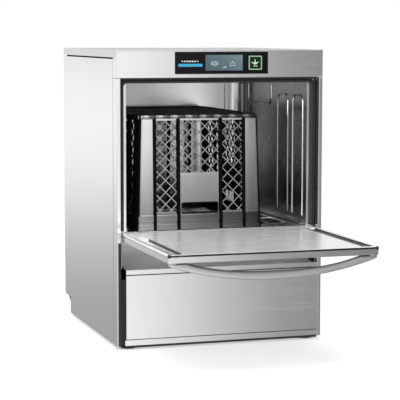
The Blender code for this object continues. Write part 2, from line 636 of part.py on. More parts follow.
def make_hinge(side, sign, door_axis):
    """A plate that turns with the door, a bracket on the casing and the pin between them."""
    pin_at = (PIVOT_Y, PIVOT_Z)
    low, top = PLATE_Z
    outline = rounded([(-0.4200, low), (-0.2060, low), (-0.2060, top), (-0.4200, top)],
                      [0, 0.004, 0.004, 0])
    plate = prism(f"door_hinge_plate_{side}", outline, "X", *span(sign, 0.2795, 0.2820), ZINC)
    add(plate, rod("tool", "X", LEVER_PEG, PIN_R, *span(sign, 0.2755, 0.2800), 10))
    cut(plate, rod("tool", "X", pin_at, PIN_HOLE_R, *span(sign, 0.27, 0.29)))
    hang(plate, door_axis)

    bracket = prism(f"hinge_bracket_{side}",
                    [(-0.3050, 0.0220), (-0.2350, 0.0220), (-0.2350, 0.0900), (-0.2620, 0.1100),
                     (-0.2620, 0.3130), (-0.3205, 0.3130), (-0.3205, 0.2180), (-0.3050, 0.2180)],
                    "X", *span(sign, 0.2860, 0.2880), ZINC)
    add(bracket, rod("tool", "X", BRACKET_PEG, PIN_R, *span(sign, 0.2760, 0.2865), 10))
    cut(bracket, rod("tool", "X", pin_at, PIN_HOLE_R, *span(sign, 0.28, 0.29)))
    rod(f"hinge_pin_{side}", "X", pin_at, PIN_R, *span(sign, 0.2776, 0.2886), finish=BRIGHT)


def make_balance_spring(side, sign):
    """A coil stretched between the lever's peg and the bracket's peg."""
    turns, steps_per_turn = 9, 8
    end_gap, coil_r, wire_r = 0.012, 0.0052, 0.0011
    top, low = Vector((sign * 0.2775, *LEVER_PEG)), Vector((sign * 0.2775, *BRACKET_PEG))
    run = low - top
    along = run.normalized()
    across = Vector((1, 0, 0))
    third = along.cross(across)
    count = turns * steps_per_turn
    coil = []
    for k in range(count + 1):
        a = 2 * math.pi * k / steps_per_turn
        reach = end_gap + (run.length - 2 * end_gap) * k / count
        coil.append(top + along * reach + (across * math.cos(a) + third * math.sin(a)) * coil_r)
    swept(f"hinge_spring_{side}", coil, wire_r, 5, ZINC, sharp_angle=60)


# ---------------------------------------------------------------- wash crate
CRATE_X = -0.0530        # crate centre line
CRATE_FRONT = -0.2940
CRATE_DEPTH = 0.5300
CRATE_MID_Y = CRATE_FRONT + CRATE_DEPTH / 2
CRATE_Z0 = 0.3157
CRATE_H = 0.3200
CRATE_W = 0.3720
CRATE_TAPER = 0.0090     # each side draws in by this much from rim to base
CRATE_WALL = 0.0040
RIM_PROUD = 0.0030       # the two rim bands stand out from the walls

# openings: from, to (about the middle of the wall), bottom, top (above the rim)
END_BAYS = ((-0.126, -0.0675, 0.050, 0.304), (-0.057, 0.057, 0.160, 0.304),
            (0.0675, 0.126, 0.050, 0.304), (-0.052, 0.052, 0.048, 0.074))
SIDE_BAYS = ((-0.215, -0.148, 0.050, 0.304), (-0.138, -0.068, 0.050, 0.304),
             (-0.058, 0.058, 0.160, 0.304), (0.068, 0.138, 0.050, 0.304),
             (0.148, 0.215, 0.050, 0.304), (-0.052, 0.052, 0.048, 0.080))


def frustum(name, half_w, half_d, radius, low, top, finish=None):
    """A four-sided block whose half sizes shrink with height at the crate's own taper."""
    sections = []
    for z in (low, top):
        drawn_in = CRATE_TAPER * (z - CRATE_Z0) / CRATE_H
        w, d = half_w - drawn_in, half_d - drawn_in
        sections.append([(CRATE_X + u, CRATE_MID_Y + v, z)
                         for u, v in rect(-w, w, -d, d, radius, 2)])
    return loft(name, sections, finish)


def make_wash_crate():
    """A stacking crate, base up, tapering upwards, with lattice bays and hand holes."""
    rim_w, rim_d = CRATE_W / 2, CRATE_DEPTH / 2
    half_w, half_d = rim_w - RIM_PROUD, rim_d - RIM_PROUD
    z0, z1 = CRATE_Z0, CRATE_Z0 + CRATE_H
    crate = frustum("wash_crate", half_w, half_d, 0.010, z0, z1, CRATE_PP)
    add(crate,
        frustum("tool", rim_w, rim_d, 0.012, z0, z0 + 0.0180),
        frustum("tool", rim_w, rim_d, 0.012, z0 + 0.0240, z0 + 0.0440))
    cut(crate, frustum("tool", half_w - CRATE_WALL, half_d - CRATE_WALL, 0.007,
                       z0 - 0.01, z1 - CRATE_WALL))
    through_y = (CRATE_FRONT - 0.02, CRATE_FRONT + CRATE_DEPTH + 0.02)
    for axis, middle, through, bays in (("Y", CRATE_X, through_y, END_BAYS),
                                        ("X", CRATE_MID_Y, (-0.30, 0.20), SIDE_BAYS)):
        for start, end, low, top in bays:
            opening = rect(middle + start, middle + end, z0 + low, z0 + top, 0.004, 2)
            cut(crate, prism("tool", opening, axis, *through))
    hang(crate, pivot("crate_axis", (CRATE_X, CRATE_FRONT, CRATE_Z0)))


# ---------------------------------------------------------------- assembly
make_top_cover()
make_control_fascia()
make_controls()
for side_name, side_sign in SIDES:
    make_side(side_name, side_sign)
make_rear_panel()
make_base_pan()
make_feet()
make_lower_front()
make_door_sill()

make_wash_tank()
make_door_seal()
make_rack_frame()
make_basin_fittings()
make_spindles()
for arm_row in SPRAY_ARMS:
    make_spray_arm(*arm_row)

make_wash_circuit()
make_rinse_boiler()
make_drain_and_services()

door_pivot = pivot("door_axis", (0.0, PIVOT_Y, PIVOT_Z))
make_door_panels(door_pivot)
make_door_handle(door_pivot)
for side_name, side_sign in SIDES:
    make_hinge(side_name, side_sign, door_pivot)
    make_balance_spring(side_name, side_sign)

make_wash_crate()
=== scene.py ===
"""Undercounter dishwasher with its door lying open, and a wash crate over the door.

Metres, +Z up, the front faces -Y. The open door reaches forwards from y = -0.236. Pieces are either
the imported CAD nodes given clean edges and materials, or new shapes set in the same frame.
"""
import json
import math
from types import SimpleNamespace

import bmesh
import bpy
import numpy as np
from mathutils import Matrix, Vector

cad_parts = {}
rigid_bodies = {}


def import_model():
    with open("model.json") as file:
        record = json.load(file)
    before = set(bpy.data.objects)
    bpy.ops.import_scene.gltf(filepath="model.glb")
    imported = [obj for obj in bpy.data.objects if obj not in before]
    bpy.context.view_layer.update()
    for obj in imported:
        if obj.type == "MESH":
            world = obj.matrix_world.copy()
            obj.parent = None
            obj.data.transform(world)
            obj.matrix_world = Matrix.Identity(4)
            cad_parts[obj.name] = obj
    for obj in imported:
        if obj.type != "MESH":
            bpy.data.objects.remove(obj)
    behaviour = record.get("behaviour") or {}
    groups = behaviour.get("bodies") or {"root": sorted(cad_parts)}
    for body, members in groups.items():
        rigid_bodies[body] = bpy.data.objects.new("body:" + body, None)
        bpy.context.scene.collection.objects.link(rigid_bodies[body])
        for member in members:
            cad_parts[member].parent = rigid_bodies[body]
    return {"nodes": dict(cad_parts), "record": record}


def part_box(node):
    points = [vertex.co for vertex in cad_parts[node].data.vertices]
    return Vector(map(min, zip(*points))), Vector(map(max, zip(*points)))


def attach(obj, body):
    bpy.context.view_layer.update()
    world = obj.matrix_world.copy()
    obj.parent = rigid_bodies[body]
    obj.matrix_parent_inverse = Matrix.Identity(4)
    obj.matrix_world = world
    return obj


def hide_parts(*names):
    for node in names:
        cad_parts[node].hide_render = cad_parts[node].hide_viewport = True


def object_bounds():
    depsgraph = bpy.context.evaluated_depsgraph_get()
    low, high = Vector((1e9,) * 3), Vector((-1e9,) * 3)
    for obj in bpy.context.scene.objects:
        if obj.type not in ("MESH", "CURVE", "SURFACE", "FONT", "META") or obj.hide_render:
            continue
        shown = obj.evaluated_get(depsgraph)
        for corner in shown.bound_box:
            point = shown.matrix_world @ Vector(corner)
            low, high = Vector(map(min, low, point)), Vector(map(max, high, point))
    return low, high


for old in list(bpy.data.objects):
    bpy.data.objects.remove(old, do_unlink=True)
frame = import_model()
cad_lo, cad_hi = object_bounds()
NODES = frame["nodes"]
SCENE = bpy.context.scene
SIDES = ((-1, "left"), (1, "right"))


# ================================================================ shader helpers
def grey(level):
    return (level, level, level)


def scaled(tone, factor):
    return tuple(factor * channel for channel in tone)


class Nodes:
    """A shader node tree with the few kinds of node that the looks are made of."""

    def __init__(self, owner):
        owner.use_nodes = True
        self.tree = owner.node_tree
        self.tree.nodes.clear()

    def plug(self, socket, value):
        """Links another socket, or sets a value; colours may leave out their alpha."""
        if isinstance(value, bpy.types.NodeSocket):
            self.tree.links.new(value, socket)
        elif socket.type == "RGBA" and len(value) == 3:
            socket.default_value = (*value, 1.0)
        else:
            socket.default_value = value

    def node(self, kind, options=None, **inputs):
        """A node; each keyword fills the input of that name, iK the input of index K."""
        made = self.tree.nodes.new("ShaderNode" + kind)
        for key, value in (options or {}).items():
            setattr(made, key, value)
        for key, value in inputs.items():
            by_index = key[0] == "i" and key[1:].isdigit()
            self.plug(made.inputs[int(key[1:]) if by_index else key.replace("_", " ")], value)
        return made

    def coords(self, scale=(1, 1, 1), rotation=(0, 0, 0)):
        place = self.node("TexCoord").outputs["Object"]
        return self.node("Mapping", Vector=place, Scale=scale, Rotation=rotation).outputs[0]

    def noise(self, scale=1.0, detail=2.0, roughness=0.5, coords=None):
        coords = coords or self.coords()
        return self.node("TexNoise", Vector=coords, Scale=scale, Detail=detail,
                         Roughness=roughness).outputs[0]

    def voronoi(self, scale):
        return self.node("TexVoronoi", Vector=self.coords(), Scale=scale).outputs

    def split(self, vector):
        return self.node("SeparateXYZ", Vector=vector).outputs

    def span(self, value, low, high, to_low=0.0, to_high=1.0):
        """Maps low..high to to_low..to_high."""
        return self.node("MapRange", Value=value, From_Min=low, From_Max=high,
                         To_Min=to_low, To_Max=to_high).outputs[0]

    def math(self, operation, a, b=0.0):
        return self.node("Math", {"operation": operation}, i0=a, i1=b).outputs[0]

    def mix(self, factor, a, b, mode="MIX"):
        options = {"data_type": "RGBA", "blend_type": mode}
        return self.node("Mix", options, i0=factor, i6=a, i7=b).outputs[2]

    def ramp(self, factor, stops):
        """A colour ramp; stops are (position, grey level or colour)."""
        made = self.node("ValToRGB", i0=factor)
        stops = [(at, (*(grey(tone) if isinstance(tone, float) else tone), 1))
                 for at, tone in stops]
        elements = made.color_ramp.elements
        for element, (at, tone) in zip(elements, (stops[0], stops[-1])):
            element.position = at
            element.color = tone
        for at, tone in stops[1:-1]:
            elements.new(at).color = tone
        return made.outputs[0]


class Surface(Nodes):
    """A material with one principled surface."""

    def __init__(self, name):
        self.material = bpy.data.materials.new(name)
        super().__init__(self.material)
        self.output = self.node("OutputMaterial")
        self.bsdf = self.node("BsdfPrincipled")
        self.plug(self.output.inputs[0], self.bsdf.outputs[0])

    def set(self, **inputs):
        for key, value in inputs.items():
            self.plug(self.bsdf.inputs[key.replace("_", " ")], value)

    def bump(self, height, strength, distance):
        made = self.node("Bump", Strength=strength, Distance=distance, Height=height)
        self.set(Normal=made.outputs[0])


# ================================================================ materials
def steel(name, tone, rough, grain, lines, cloud, relief, metal=1.0, facing_shade=None):
    """Brushed sheet: scratches along the grain axis, faint clouds and a few deeper hairlines.

    lines and cloud vary the roughness; facing is a ramp of painted shade over the normal, from down
    to up.
    """
    look = Surface(name)
    fine_scale, hair_scale = ([along if axis == grain else across for axis in "XYZ"]
                              for along, across in ((6, 700), (3, 160)))
    fine = look.noise(detail=4.0, roughness=0.65, coords=look.coords(fine_scale))
    hair = look.noise(coords=look.coords(hair_scale))
    clouds = look.noise(scale=4.5, detail=5.0, roughness=0.55)
    scratch = look.span(hair, 0.62, 0.72)
    gloss = look.math("ADD", look.span(fine, 0.3, 0.7, rough - lines, rough + lines),
                      look.span(clouds, 0.35, 0.65, -cloud, cloud))
    gloss = look.math("ADD", gloss, look.math("MULTIPLY", scratch, 0.04))
    colour = look.mix(look.span(fine, 0.25, 0.75), scaled(tone, 0.965), tone)
    colour = look.mix(look.span(clouds, 0.3, 0.7, 0.0, 0.06), colour, scaled(tone, 0.88))
    # painted shade: the colour darkens by a ramp over the normal's upward part
    if facing_shade:
        up = look.split(look.node("TexCoord").outputs["Normal"])[2]
        shade = look.ramp(look.span(up, -1.0, 1.0), facing_shade)
        colour = look.mix(1.0, colour, shade, "MULTIPLY")
    look.set(Base_Color=colour, Roughness=gloss, Metallic=metal)
    height = look.math("ADD", fine, look.math("MULTIPLY", scratch, -0.5))
    look.bump(height, strength=relief, distance=0.0002)
    return look.material


def moulded(name, tone, rough, relief=0.12, vary=0.12, spec=0.5, scuff=0.04):
    """Moulded plastic: fine grain, uneven gloss and light scuffs; vary spreads the tone."""
    look = Surface(name)
    grain = look.noise(scale=900.0)
    clouds = look.noise(scale=14.0, detail=5.0, roughness=0.6)
    streaks = look.noise(detail=6.0, roughness=0.7,
                         coords=look.coords((60, 60, 9), (0.3, 0.5, 0.2)))
    scratch = look.span(streaks, 0.60, 0.70)
    gloss = look.math("ADD", look.span(clouds, 0.3, 0.7, rough - 0.06, rough + 0.06),
                      look.math("MULTIPLY", scratch, 0.08))
    colour = look.mix(look.span(clouds, 0.3, 0.7), scaled(tone, 1 - vary), scaled(tone, 1 + vary))
    colour = look.mix(look.math("MULTIPLY", scratch, scuff), colour, grey(0.55))
    look.set(Base_Color=colour, Roughness=gloss, Specular_IOR_Level=spec, Coat_Roughness=0.12)
    look.bump(grain, strength=relief, distance=0.0002)
    return look.material


def rubber(name, tone, rough):
    """Rubber: fine grain and a soft, paler bloom."""
    look = Surface(name)
    grain = look.noise(scale=1500.0)
    clouds = look.noise(scale=22.0, detail=5.0, roughness=0.65)
    bloom = tuple(channel * 1.9 + 0.004 for channel in tone)
    look.set(Roughness=look.span(clouds, 0.3, 0.7, rough - 0.08, rough + 0.1),
             Base_Color=look.mix(look.span(clouds, 0.35, 0.75), tone, bloom),
             Sheen_Weight=0.06)
    look.bump(grain, strength=0.15, distance=0.0003)
    return look.material


def cast(name, tone, rough):
    """Cast and lacquered metal with orange peel."""
    look = Surface(name)
    peel = look.voronoi(420.0)["Distance"]
    clouds = look.noise(scale=30.0, detail=4.0)
    look.set(Roughness=look.span(clouds, 0.3, 0.7, rough - 0.08, rough + 0.08),
             Base_Color=look.mix(look.span(peel, 0.0, 0.6), scaled(tone, 0.8), tone),
             Metallic=0.85)
    look.bump(peel, strength=0.25, distance=0.0004)
    return look.material


def zinc(name):
    """Passivated zinc: crystalline patches with warm and cool tints."""
    look = Surface(name)
    patch_colour = look.voronoi(160.0)["Color"]
    clouds = look.noise(scale=35.0, detail=4.0)
    patches = look.node("SeparateColor", Color=patch_colour).outputs[0]
    cool, warm = (0.52, 0.53, 0.55), (0.60, 0.58, 0.52)
    look.set(Base_Color=look.mix(look.span(clouds, 0.35, 0.65), cool, warm),
             Roughness=look.span(patches, 0.0, 1.0, 0.30, 0.48), Metallic=1.0)
    look.bump(patches, strength=0.08, distance=0.0003)
    return look.material


def perforated(name, tone, rough, pitch):
    """Punched sheet: staggered round holes drawn dark, with a rim to each."""
    look = Surface(name)
    per_metre = 1.0 / pitch
    x, y, _ = look.split(look.coords((per_metre, per_metre * 0.577, 0.0)))

    def hole_distance(shift):
        """Distance from the nearest hole centre of one of the two staggered grids."""
        cell_x = look.math("FRACT", look.math("ADD", x, shift))
        cell_y = look.math("FRACT", look.math("ADD", y, shift))
        off_x = look.math("SUBTRACT", cell_x, 0.5)
        off_y = look.math("MULTIPLY", look.math("SUBTRACT", cell_y, 0.5), 1.733)
        return look.math("SQRT", look.math("ADD", look.math("MULTIPLY", off_x, off_x),
                                           look.math("MULTIPLY", off_y, off_y)))

    distance = look.math("MINIMUM", hole_distance(0.0), hole_distance(0.5))
    hole = look.span(distance, 0.24, 0.29, 1.0, 0.0)
    look.set(Base_Color=look.mix(hole, tone, grey(0.01)),
             Metallic=look.math("SUBTRACT", 1.0, hole),
             Roughness=look.span(hole, 0.0, 1.0, rough, 0.9))
    look.bump(look.span(distance, 0.22, 0.40), strength=0.5, distance=0.0006)
    return look.material


def glow(name, tone, strength):
    """Backlit print: a slightly uneven light."""
    look = Surface(name)
    clouds = look.noise(scale=260.0, detail=3.0)
    light = look.mix(look.span(clouds, 0.3, 0.7, 0.0, 0.35), tone, scaled(tone, 0.7))
    look.set(Emission_Color=light, Emission_Strength=strength,
             Base_Color=scaled(tone, 0.5), Roughness=0.3)
    return look.material


def pane(name, tone, rough, spec):
    """Dark printed glass with smears in the gloss."""
    look = Surface(name)
    smears = look.noise(detail=6.0, roughness=0.6,
                        coords=look.coords((18, 18, 60), (0.2, 0.4, 0.1)))
    look.set(Roughness=look.span(smears, 0.4, 0.7, rough, rough + 0.12),
             Base_Color=look.mix(look.span(smears, 0.45, 0.75), tone, scaled(tone, 1.8)),
             Specular_IOR_Level=spec)
    return look.material


def lit_screen(name):
    """A lit panel: blue-grey, lighter towards the right and the top, with a cell pattern."""
    look = Surface(name)
    place = look.node("TexCoord").outputs["Object"]
    x, _, z = look.split(place)
    level = look.math("ADD", look.span(x, -0.047, 0.061, 0.35, 0.75),
                      look.span(z, 0.758, 0.801, -0.1, 0.15))
    clouds = look.noise(scale=160.0, detail=4.0, roughness=0.7, coords=place)
    level = look.math("ADD", level, look.span(clouds, 0.3, 0.7, -0.10, 0.10))
    colour = look.ramp(level, [(0.0, (0.035, 0.060, 0.075)), (0.5, (0.075, 0.120, 0.140)),
                               (1.0, (0.19, 0.24, 0.26))])
    cells = look.node("TexChecker", Vector=place, Scale=2200.0,
                      Color1=grey(1.0), Color2=grey(0.86)).outputs[0]
    look.set(Emission_Color=look.mix(1.0, colour, cells, "MULTIPLY"), Emission_Strength=1.0,
             Base_Color=(0.02, 0.03, 0.035), Roughness=0.16, Specular_IOR_Level=0.3)
    return look.material


def circuit_board(name):
    """Green lacquer over wavy tracks."""
    look = Surface(name)
    tracks = look.node("TexWave", {"wave_type": "BANDS", "bands_direction": "DIAGONAL"},
                       Vector=look.coords((220, 220, 220)), Scale=1.0, Distortion=6.0,
                       Detail=2.0).outputs["Fac"]
    dark, light = (0.012, 0.075, 0.035), (0.05, 0.19, 0.09)
    look.set(Base_Color=look.mix(look.span(tracks, 0.55, 0.62), dark, light), Roughness=0.42)
    look.bump(tracks, strength=0.2, distance=0.0002)
    return look.material


def foam(name):
    look = Surface(name)
    cells = look.voronoi(330.0)["Distance"]
    dark, light = (0.50, 0.44, 0.30), (0.80, 0.75, 0.60)
    look.set(Base_Color=look.mix(look.span(cells, 0.0, 0.5), dark, light), Roughness=0.92)
    look.bump(cells, strength=0.6, distance=0.0015)
    return look.material


# Painted fades of the crate's painted sheen, darker towards the rim and from left to right: axis,
# extent along it in metres, brightness ramp over that extent
PAINTED_FADE_UP = (2, (0.3157, 0.6357), [(0.0, 0.22), (0.18, 0.38), (0.45, 0.62), (0.75, 0.92), (1.0, 1.0)])
PAINTED_FADE_ACROSS = (0, (-0.240, 0.134),
               [(0.0, 1.6), (0.12, 1.15), (0.5, 0.65), (0.75, 0.38), (1.0, 0.12)])


def crate_painted_sheen(name, low, high, sheen_fade=None):
    """Black plastic with a clear coat and a bright metallic tone as painted sheen; low and high are
    the ends of its tone, the optional ramp a painted fade of it.
    """
    look = Surface(name)
    clouds = look.noise(detail=5.0, roughness=0.6, coords=look.coords((10, 10, 3)))
    grain = look.noise(scale=700.0)
    colour = look.mix(look.span(clouds, 0.3, 0.7), (low, low, low * 1.01), grey(high))
    if sheen_fade:
        axis, extent, stops = sheen_fade
        shade = look.ramp(look.span(look.split(look.coords())[axis], *extent), stops)
        colour = look.mix(1.0, colour, shade, "MULTIPLY")
    look.set(Base_Color=colour, Roughness=look.span(clouds, 0.3, 0.7, 0.10, 0.17),
             Metallic=0.85, Coat_Weight=0.5, Coat_Roughness=0.15)
    look.bump(grain, strength=0.03, distance=0.0002)
    return look.material


SHEET_X = steel("brushed_sheet_across", (0.93, 0.93, 0.925), rough=0.155, grain="X",
                lines=0.020, cloud=0.010, relief=0.012)
SHEET_Z = steel("brushed_sheet_upright", (0.90, 0.90, 0.895), rough=0.165, grain="Z",
                lines=0.020, cloud=0.010, relief=0.012)
SHEET_Y = steel("brushed_sheet_lengthwise", (0.82, 0.82, 0.815), rough=0.28, grain="Y",
                lines=0.025, cloud=0.015, relief=0.018)
# a darker copy of the sheet for the top cover's upward faces: painted shade
SHEET_TOP_SHADE = steel("brushed_sheet_top_painted_shade", (0.55, 0.55, 0.545), rough=0.27, grain="Y",
                  lines=0.03, cloud=0.015, relief=0.018)
DEEP = steel("satin_deep_drawn", grey(0.84), rough=0.22, grain="Z",
             lines=0.03, cloud=0.05, relief=0.03)
INNER = steel("satin_door_lining", grey(0.86), rough=0.26, grain="X",
              lines=0.025, cloud=0.02, relief=0.014, metal=0.50)
BOSS = steel("satin_pressed_boss", grey(0.90), rough=0.34, grain="Y",
             lines=0.03, cloud=0.02, relief=0.02, metal=0.30)
TROUGH = steel("satin_drip_trough", grey(0.80), rough=0.42, grain="X",
               lines=0.03, cloud=0.04, relief=0.03, metal=0.65)
# the handle's ramp paints shade on its upper faces and keeps the downward faces light
HANDLE = steel("satin_handle_bar_painted_shade", (0.80, 0.80, 0.795), rough=0.34, grain="X",
               lines=0.02, cloud=0.01, relief=0.012, metal=0.90,
               facing_shade=[(0.0, 0.92), (0.42, 1.0), (0.53, 0.72), (0.66, 0.22), (1.0, 0.14)])
BAR = steel("polished_bar_steel", (0.88, 0.88, 0.875), rough=0.20, grain="X",
            lines=0.02, cloud=0.02, relief=0.015)
WIRE = steel("drawn_wire_steel", grey(0.80), rough=0.22, grain="Y",
             lines=0.03, cloud=0.02, relief=0.02)
# a darker copy of the chamber steel for the side walls: painted shade
WALL = steel("satin_chamber_wall_painted_shade", grey(0.50), rough=0.24, grain="Z",
             lines=0.03, cloud=0.04, relief=0.03)
ZINC = zinc("passivated_zinc")
GLASS = pane("printed_black_glass", (0.004, 0.004, 0.005), rough=0.07, spec=0.16)
SCREEN = lit_screen("lit_screen")
KEY = pane("start_key_face", (0.004, 0.008, 0.005), rough=0.12, spec=0.2)
BOARD = circuit_board("circuit_board_lacquer")
SEAL = rubber("extruded_seal_rubber", (0.010, 0.010, 0.011), rough=0.50)
FOOT = rubber("moulded_foot_rubber", grey(0.013), rough=0.62)
GRIP = rubber("black_corner_plug", grey(0.006), rough=0.45)
CRATE = moulded("crate_black_grained", (0.0030, 0.0030, 0.0034), rough=0.46, spec=0.035,
                scuff=0.006)
LID = moulded("crate_black_lid", (0.020, 0.020, 0.021), rough=0.60, spec=0.10, scuff=0.03,
              relief=0.2)
RIB = moulded("crate_black_rib", (0.0022, 0.0022, 0.0024), rough=0.55, spec=0.05, scuff=0.0)
HOSE = rubber("ribbed_grey_hose", (0.13, 0.13, 0.14), rough=0.55)
GREY = moulded("grey_polypropylene", (0.20, 0.21, 0.225), rough=0.42)
WHITE = moulded("white_polypropylene", (0.72, 0.72, 0.70), rough=0.38, vary=0.05, scuff=0.0)
FOAM = foam("closed_cell_foam")
CAST = cast("lacquered_casting", (0.34, 0.35, 0.37), rough=0.5)
PERFORATED = perforated("punched_filter_sheet", grey(0.72), rough=0.26, pitch=0.005)
GREEN = glow("key_ring_light", (0.20, 0.42, 0.24), strength=0.70)
PALE = glow("key_glyph_light", (0.50, 0.68, 0.55), strength=0.60)
ICON = glow("screen_glyph_light", (0.42, 0.50, 0.55), strength=0.62)
BLUE = glow("blue_bar_print", (0.030, 0.30, 0.50), strength=0.72)
CHALK = glow("white_dot_print", grey(0.75), strength=0.80)
# bright metallic copies of the black crate plastic for the faces towards front and back: painted
# sheen and reflections, dimmer on the bands and the lip
SHEEN = crate_painted_sheen("crate_painted_sheen_face", low=0.66, high=0.78, sheen_fade=PAINTED_FADE_UP)
STRAND_SHEEN = crate_painted_sheen("crate_strand_painted_sheen", low=0.36, high=0.46)
BAND_SHEEN = crate_painted_sheen("crate_band_painted_sheen", low=0.17, high=0.25, sheen_fade=PAINTED_FADE_ACROSS)
LIP_SHEEN = crate_painted_sheen("crate_lip_painted_sheen", low=0.21, high=0.28, sheen_fade=PAINTED_FADE_ACROSS)


# ================================================================ mesh helpers
def put(name, shape, material, slot, body="cabinet", replaces=(), bevel=0.0, segments=2,
        angle=35, second=None):
    """angle is the least sharp edge, in degrees; second(face) tells if a face takes material two.
    """
    bmesh.ops.recalc_face_normals(shape, faces=shape.faces[:])
    mesh = bpy.data.meshes.new(name)
    shape.to_mesh(mesh)
    shape.free()
    for entry in material if isinstance(material, list) else [material]:
        mesh.materials.append(entry)
    if second:
        for face in mesh.polygons:
            face.material_index = int(second(face))
    made = bpy.data.objects.new(name, mesh)
    SCENE.collection.objects.link(made)
    mesh.shade_smooth()
    if bevel:
        edge = made.modifiers.new("edge", "BEVEL")
        edge.width = bevel
        edge.segments = segments
        edge.limit_method = "ANGLE"
        edge.angle_limit = math.radians(angle)
        edge.use_clamp_overlap = True
        flat = made.modifiers.new("flat", "WEIGHTED_NORMAL")
        flat.mode = "FACE_AREA"
        flat.weight = 90
        flat.keep_sharp = True
    else:
        mesh.set_sharp_from_angle(angle=math.radians(angle))
    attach(made, body)
    if replaces:
        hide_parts(*replaces)


def body_of(node):
    for body, members in frame["record"]["behaviour"]["bodies"].items():
        if node in members:
            return body
    return "cabinet"


def refine(node, material, slot, bevel=0.0004, segments=2, angle=28, second=None):
    """The CAD node's own shape, welded, its flats joined and its edges broken."""
    shape = bmesh.new()
    shape.from_mesh(NODES[node].data)
    bmesh.ops.remove_doubles(shape, verts=shape.verts[:], dist=2e-6)
    bmesh.ops.dissolve_limit(shape, angle_limit=math.radians(0.25),
                             verts=shape.verts[:], edges=shape.edges[:])
    put(node + "_finish", shape, material, slot, body_of(node), (node,), bevel, segments,
        angle, second)


# Each places an outline's (u, v) at distance w along the named axis
def along_x(u, v, w):
    return Vector((w, u, v))


def along_y(u, v, w):
    return Vector((u, w, v))


def along_z(u, v, w):
    return Vector((u, v, w))


def loft(shape, loops, wrap=False):
    """Joins equal-length loops of points; caps the ends, or wraps the last to the first."""
    made = [[shape.verts.new(point) for point in loop] for loop in loops]
    count = len(made[0])
    pairs = list(zip(made, made[1:])) + ([(made[-1], made[0])] if wrap else [])
    for a, b in pairs:
        for k in range(count):
            j = (k + 1) % count
            shape.faces.new((a[k], a[j], b[j], b[k]))
    if not wrap:
        shape.faces.new(made[0][::-1])
        shape.faces.new(made[-1])


def prism(shape, outline, place, start, end):
    """An outline of (u, v) carried straight from w = start to w = end."""
    low = [shape.verts.new(place(u, v, start)) for u, v in outline]
    high = [shape.verts.new(place(u, v, end)) for u, v in outline]
    shape.faces.new(low[::-1])
    shape.faces.new(high)
    for i in range(len(outline)):
        j = (i + 1) % len(outline)
        shape.faces.new((low[i], low[j], high[j], high[i]))


def strip(name, material, outline, place, start, end, slot="black_rubber", bevel=0.0002,
          segments=1):
    """One prism of the cabinet as an object."""
    shape = bmesh.new()
    prism(shape, outline, place, start, end)
    put(name, shape, material, slot, bevel=bevel, segments=segments)


def outline_ring(shape, outer, inner, place, start, end):
    """A flat closed ring between two equal-length outlines."""
    loft(shape, [[place(u, v, w) for u, v in outline] for outline, w in
                 ((outer, start), (outer, end), (inner, end), (inner, start))], wrap=True)


def mirrored(outline, side):
    return [(side * u, v) for u, v in outline]


def rectangle(u0, u1, v0, v1):
    return [(u0, v0), (u1, v0), (u1, v1), (u0, v1)]


def arc(u, v, radius, start, end, steps):
    """Points of a circular arc with both ends; angles in degrees."""
    angles = [math.radians(start + (end - start) * k / steps) for k in range(steps + 1)]
    return [(u + radius * math.cos(a), v + radius * math.sin(a)) for a in angles]


def circle(u, v, radius, steps):
    return arc(u, v, radius, 0, 360, steps)[:-1]


def rounded(u0, u1, v0, v1, radius, steps=5):
    """A rectangle with round corners."""
    points = []
    for u, v, start in ((u1 - radius, v0 + radius, -90), (u1 - radius, v1 - radius, 0),
                        (u0 + radius, v1 - radius, 90), (u0 + radius, v0 + radius, 180)):
        points += arc(u, v, radius, start, start + 90, steps)
    return points


def rounded_stack(shape, x_span, y_span, radius, levels, steps):
    """A block of stacked round-cornered rectangles; levels are (z, inset)."""
    loft(shape, [[Vector((x, y, z)) for x, y in
                  rounded(x_span[0] + inset, x_span[1] - inset,
                          y_span[0] + inset, y_span[1] - inset, radius, steps)]
                 for z, inset in levels])


def signed_power(value, exponent):
    """Squares up a sine or cosine, for superellipses."""
    return math.copysign(abs(value) ** exponent, value)


def lathe(shape, profile, place, u, v, steps=32):
    """Turns (radius, height) pairs about an axis at (u, v).

    A profile that starts at radius 0 is closed on the axis; any other is a closed ring.
    """
    loops = []
    for radius, height in profile:
        around = circle(u, v, radius, steps) if radius > 1e-9 else [(u, v)]
        loops.append([shape.verts.new(place(*point, height)) for point in around])
    pairs = list(zip(loops, loops[1:]))
    if profile[0][0] > 1e-9:
        pairs.append((loops[-1], loops[0]))
    for a, b in pairs:
        for k in range(steps):
            j = (k + 1) % steps
            face = []
            for vert in (a[k % len(a)], a[j % len(a)], b[j % len(b)], b[k % len(b)]):
                if vert not in face:
                    face.append(vert)
            if len(face) > 2:
                shape.faces.new(face)


def sweep(shape, path, radius, steps=10, closed=False):
    """A round bar along a path; radius may be a function of the fraction along it."""
    points = [Vector(point) for point in path]
    count = len(points)
    tangents = []
    for i in range(count):
        before = points[(i - 1) % count] if closed else points[max(i - 1, 0)]
        after = points[(i + 1) % count] if closed else points[min(i + 1, count - 1)]
        tangents.append((after - before).normalized())
    side = tangents[0].orthogonal().normalized()
    loops = []
    for i, (point, tangent) in enumerate(zip(points, tangents)):
        side = (side - tangent * side.dot(tangent)).normalized()
        across = tangent.cross(side)
        size = radius(i / (count - 1)) if callable(radius) else radius
        loops.append([point + side * u + across * v for u, v in circle(0, 0, size, steps)])
    loft(shape, loops, wrap=closed)


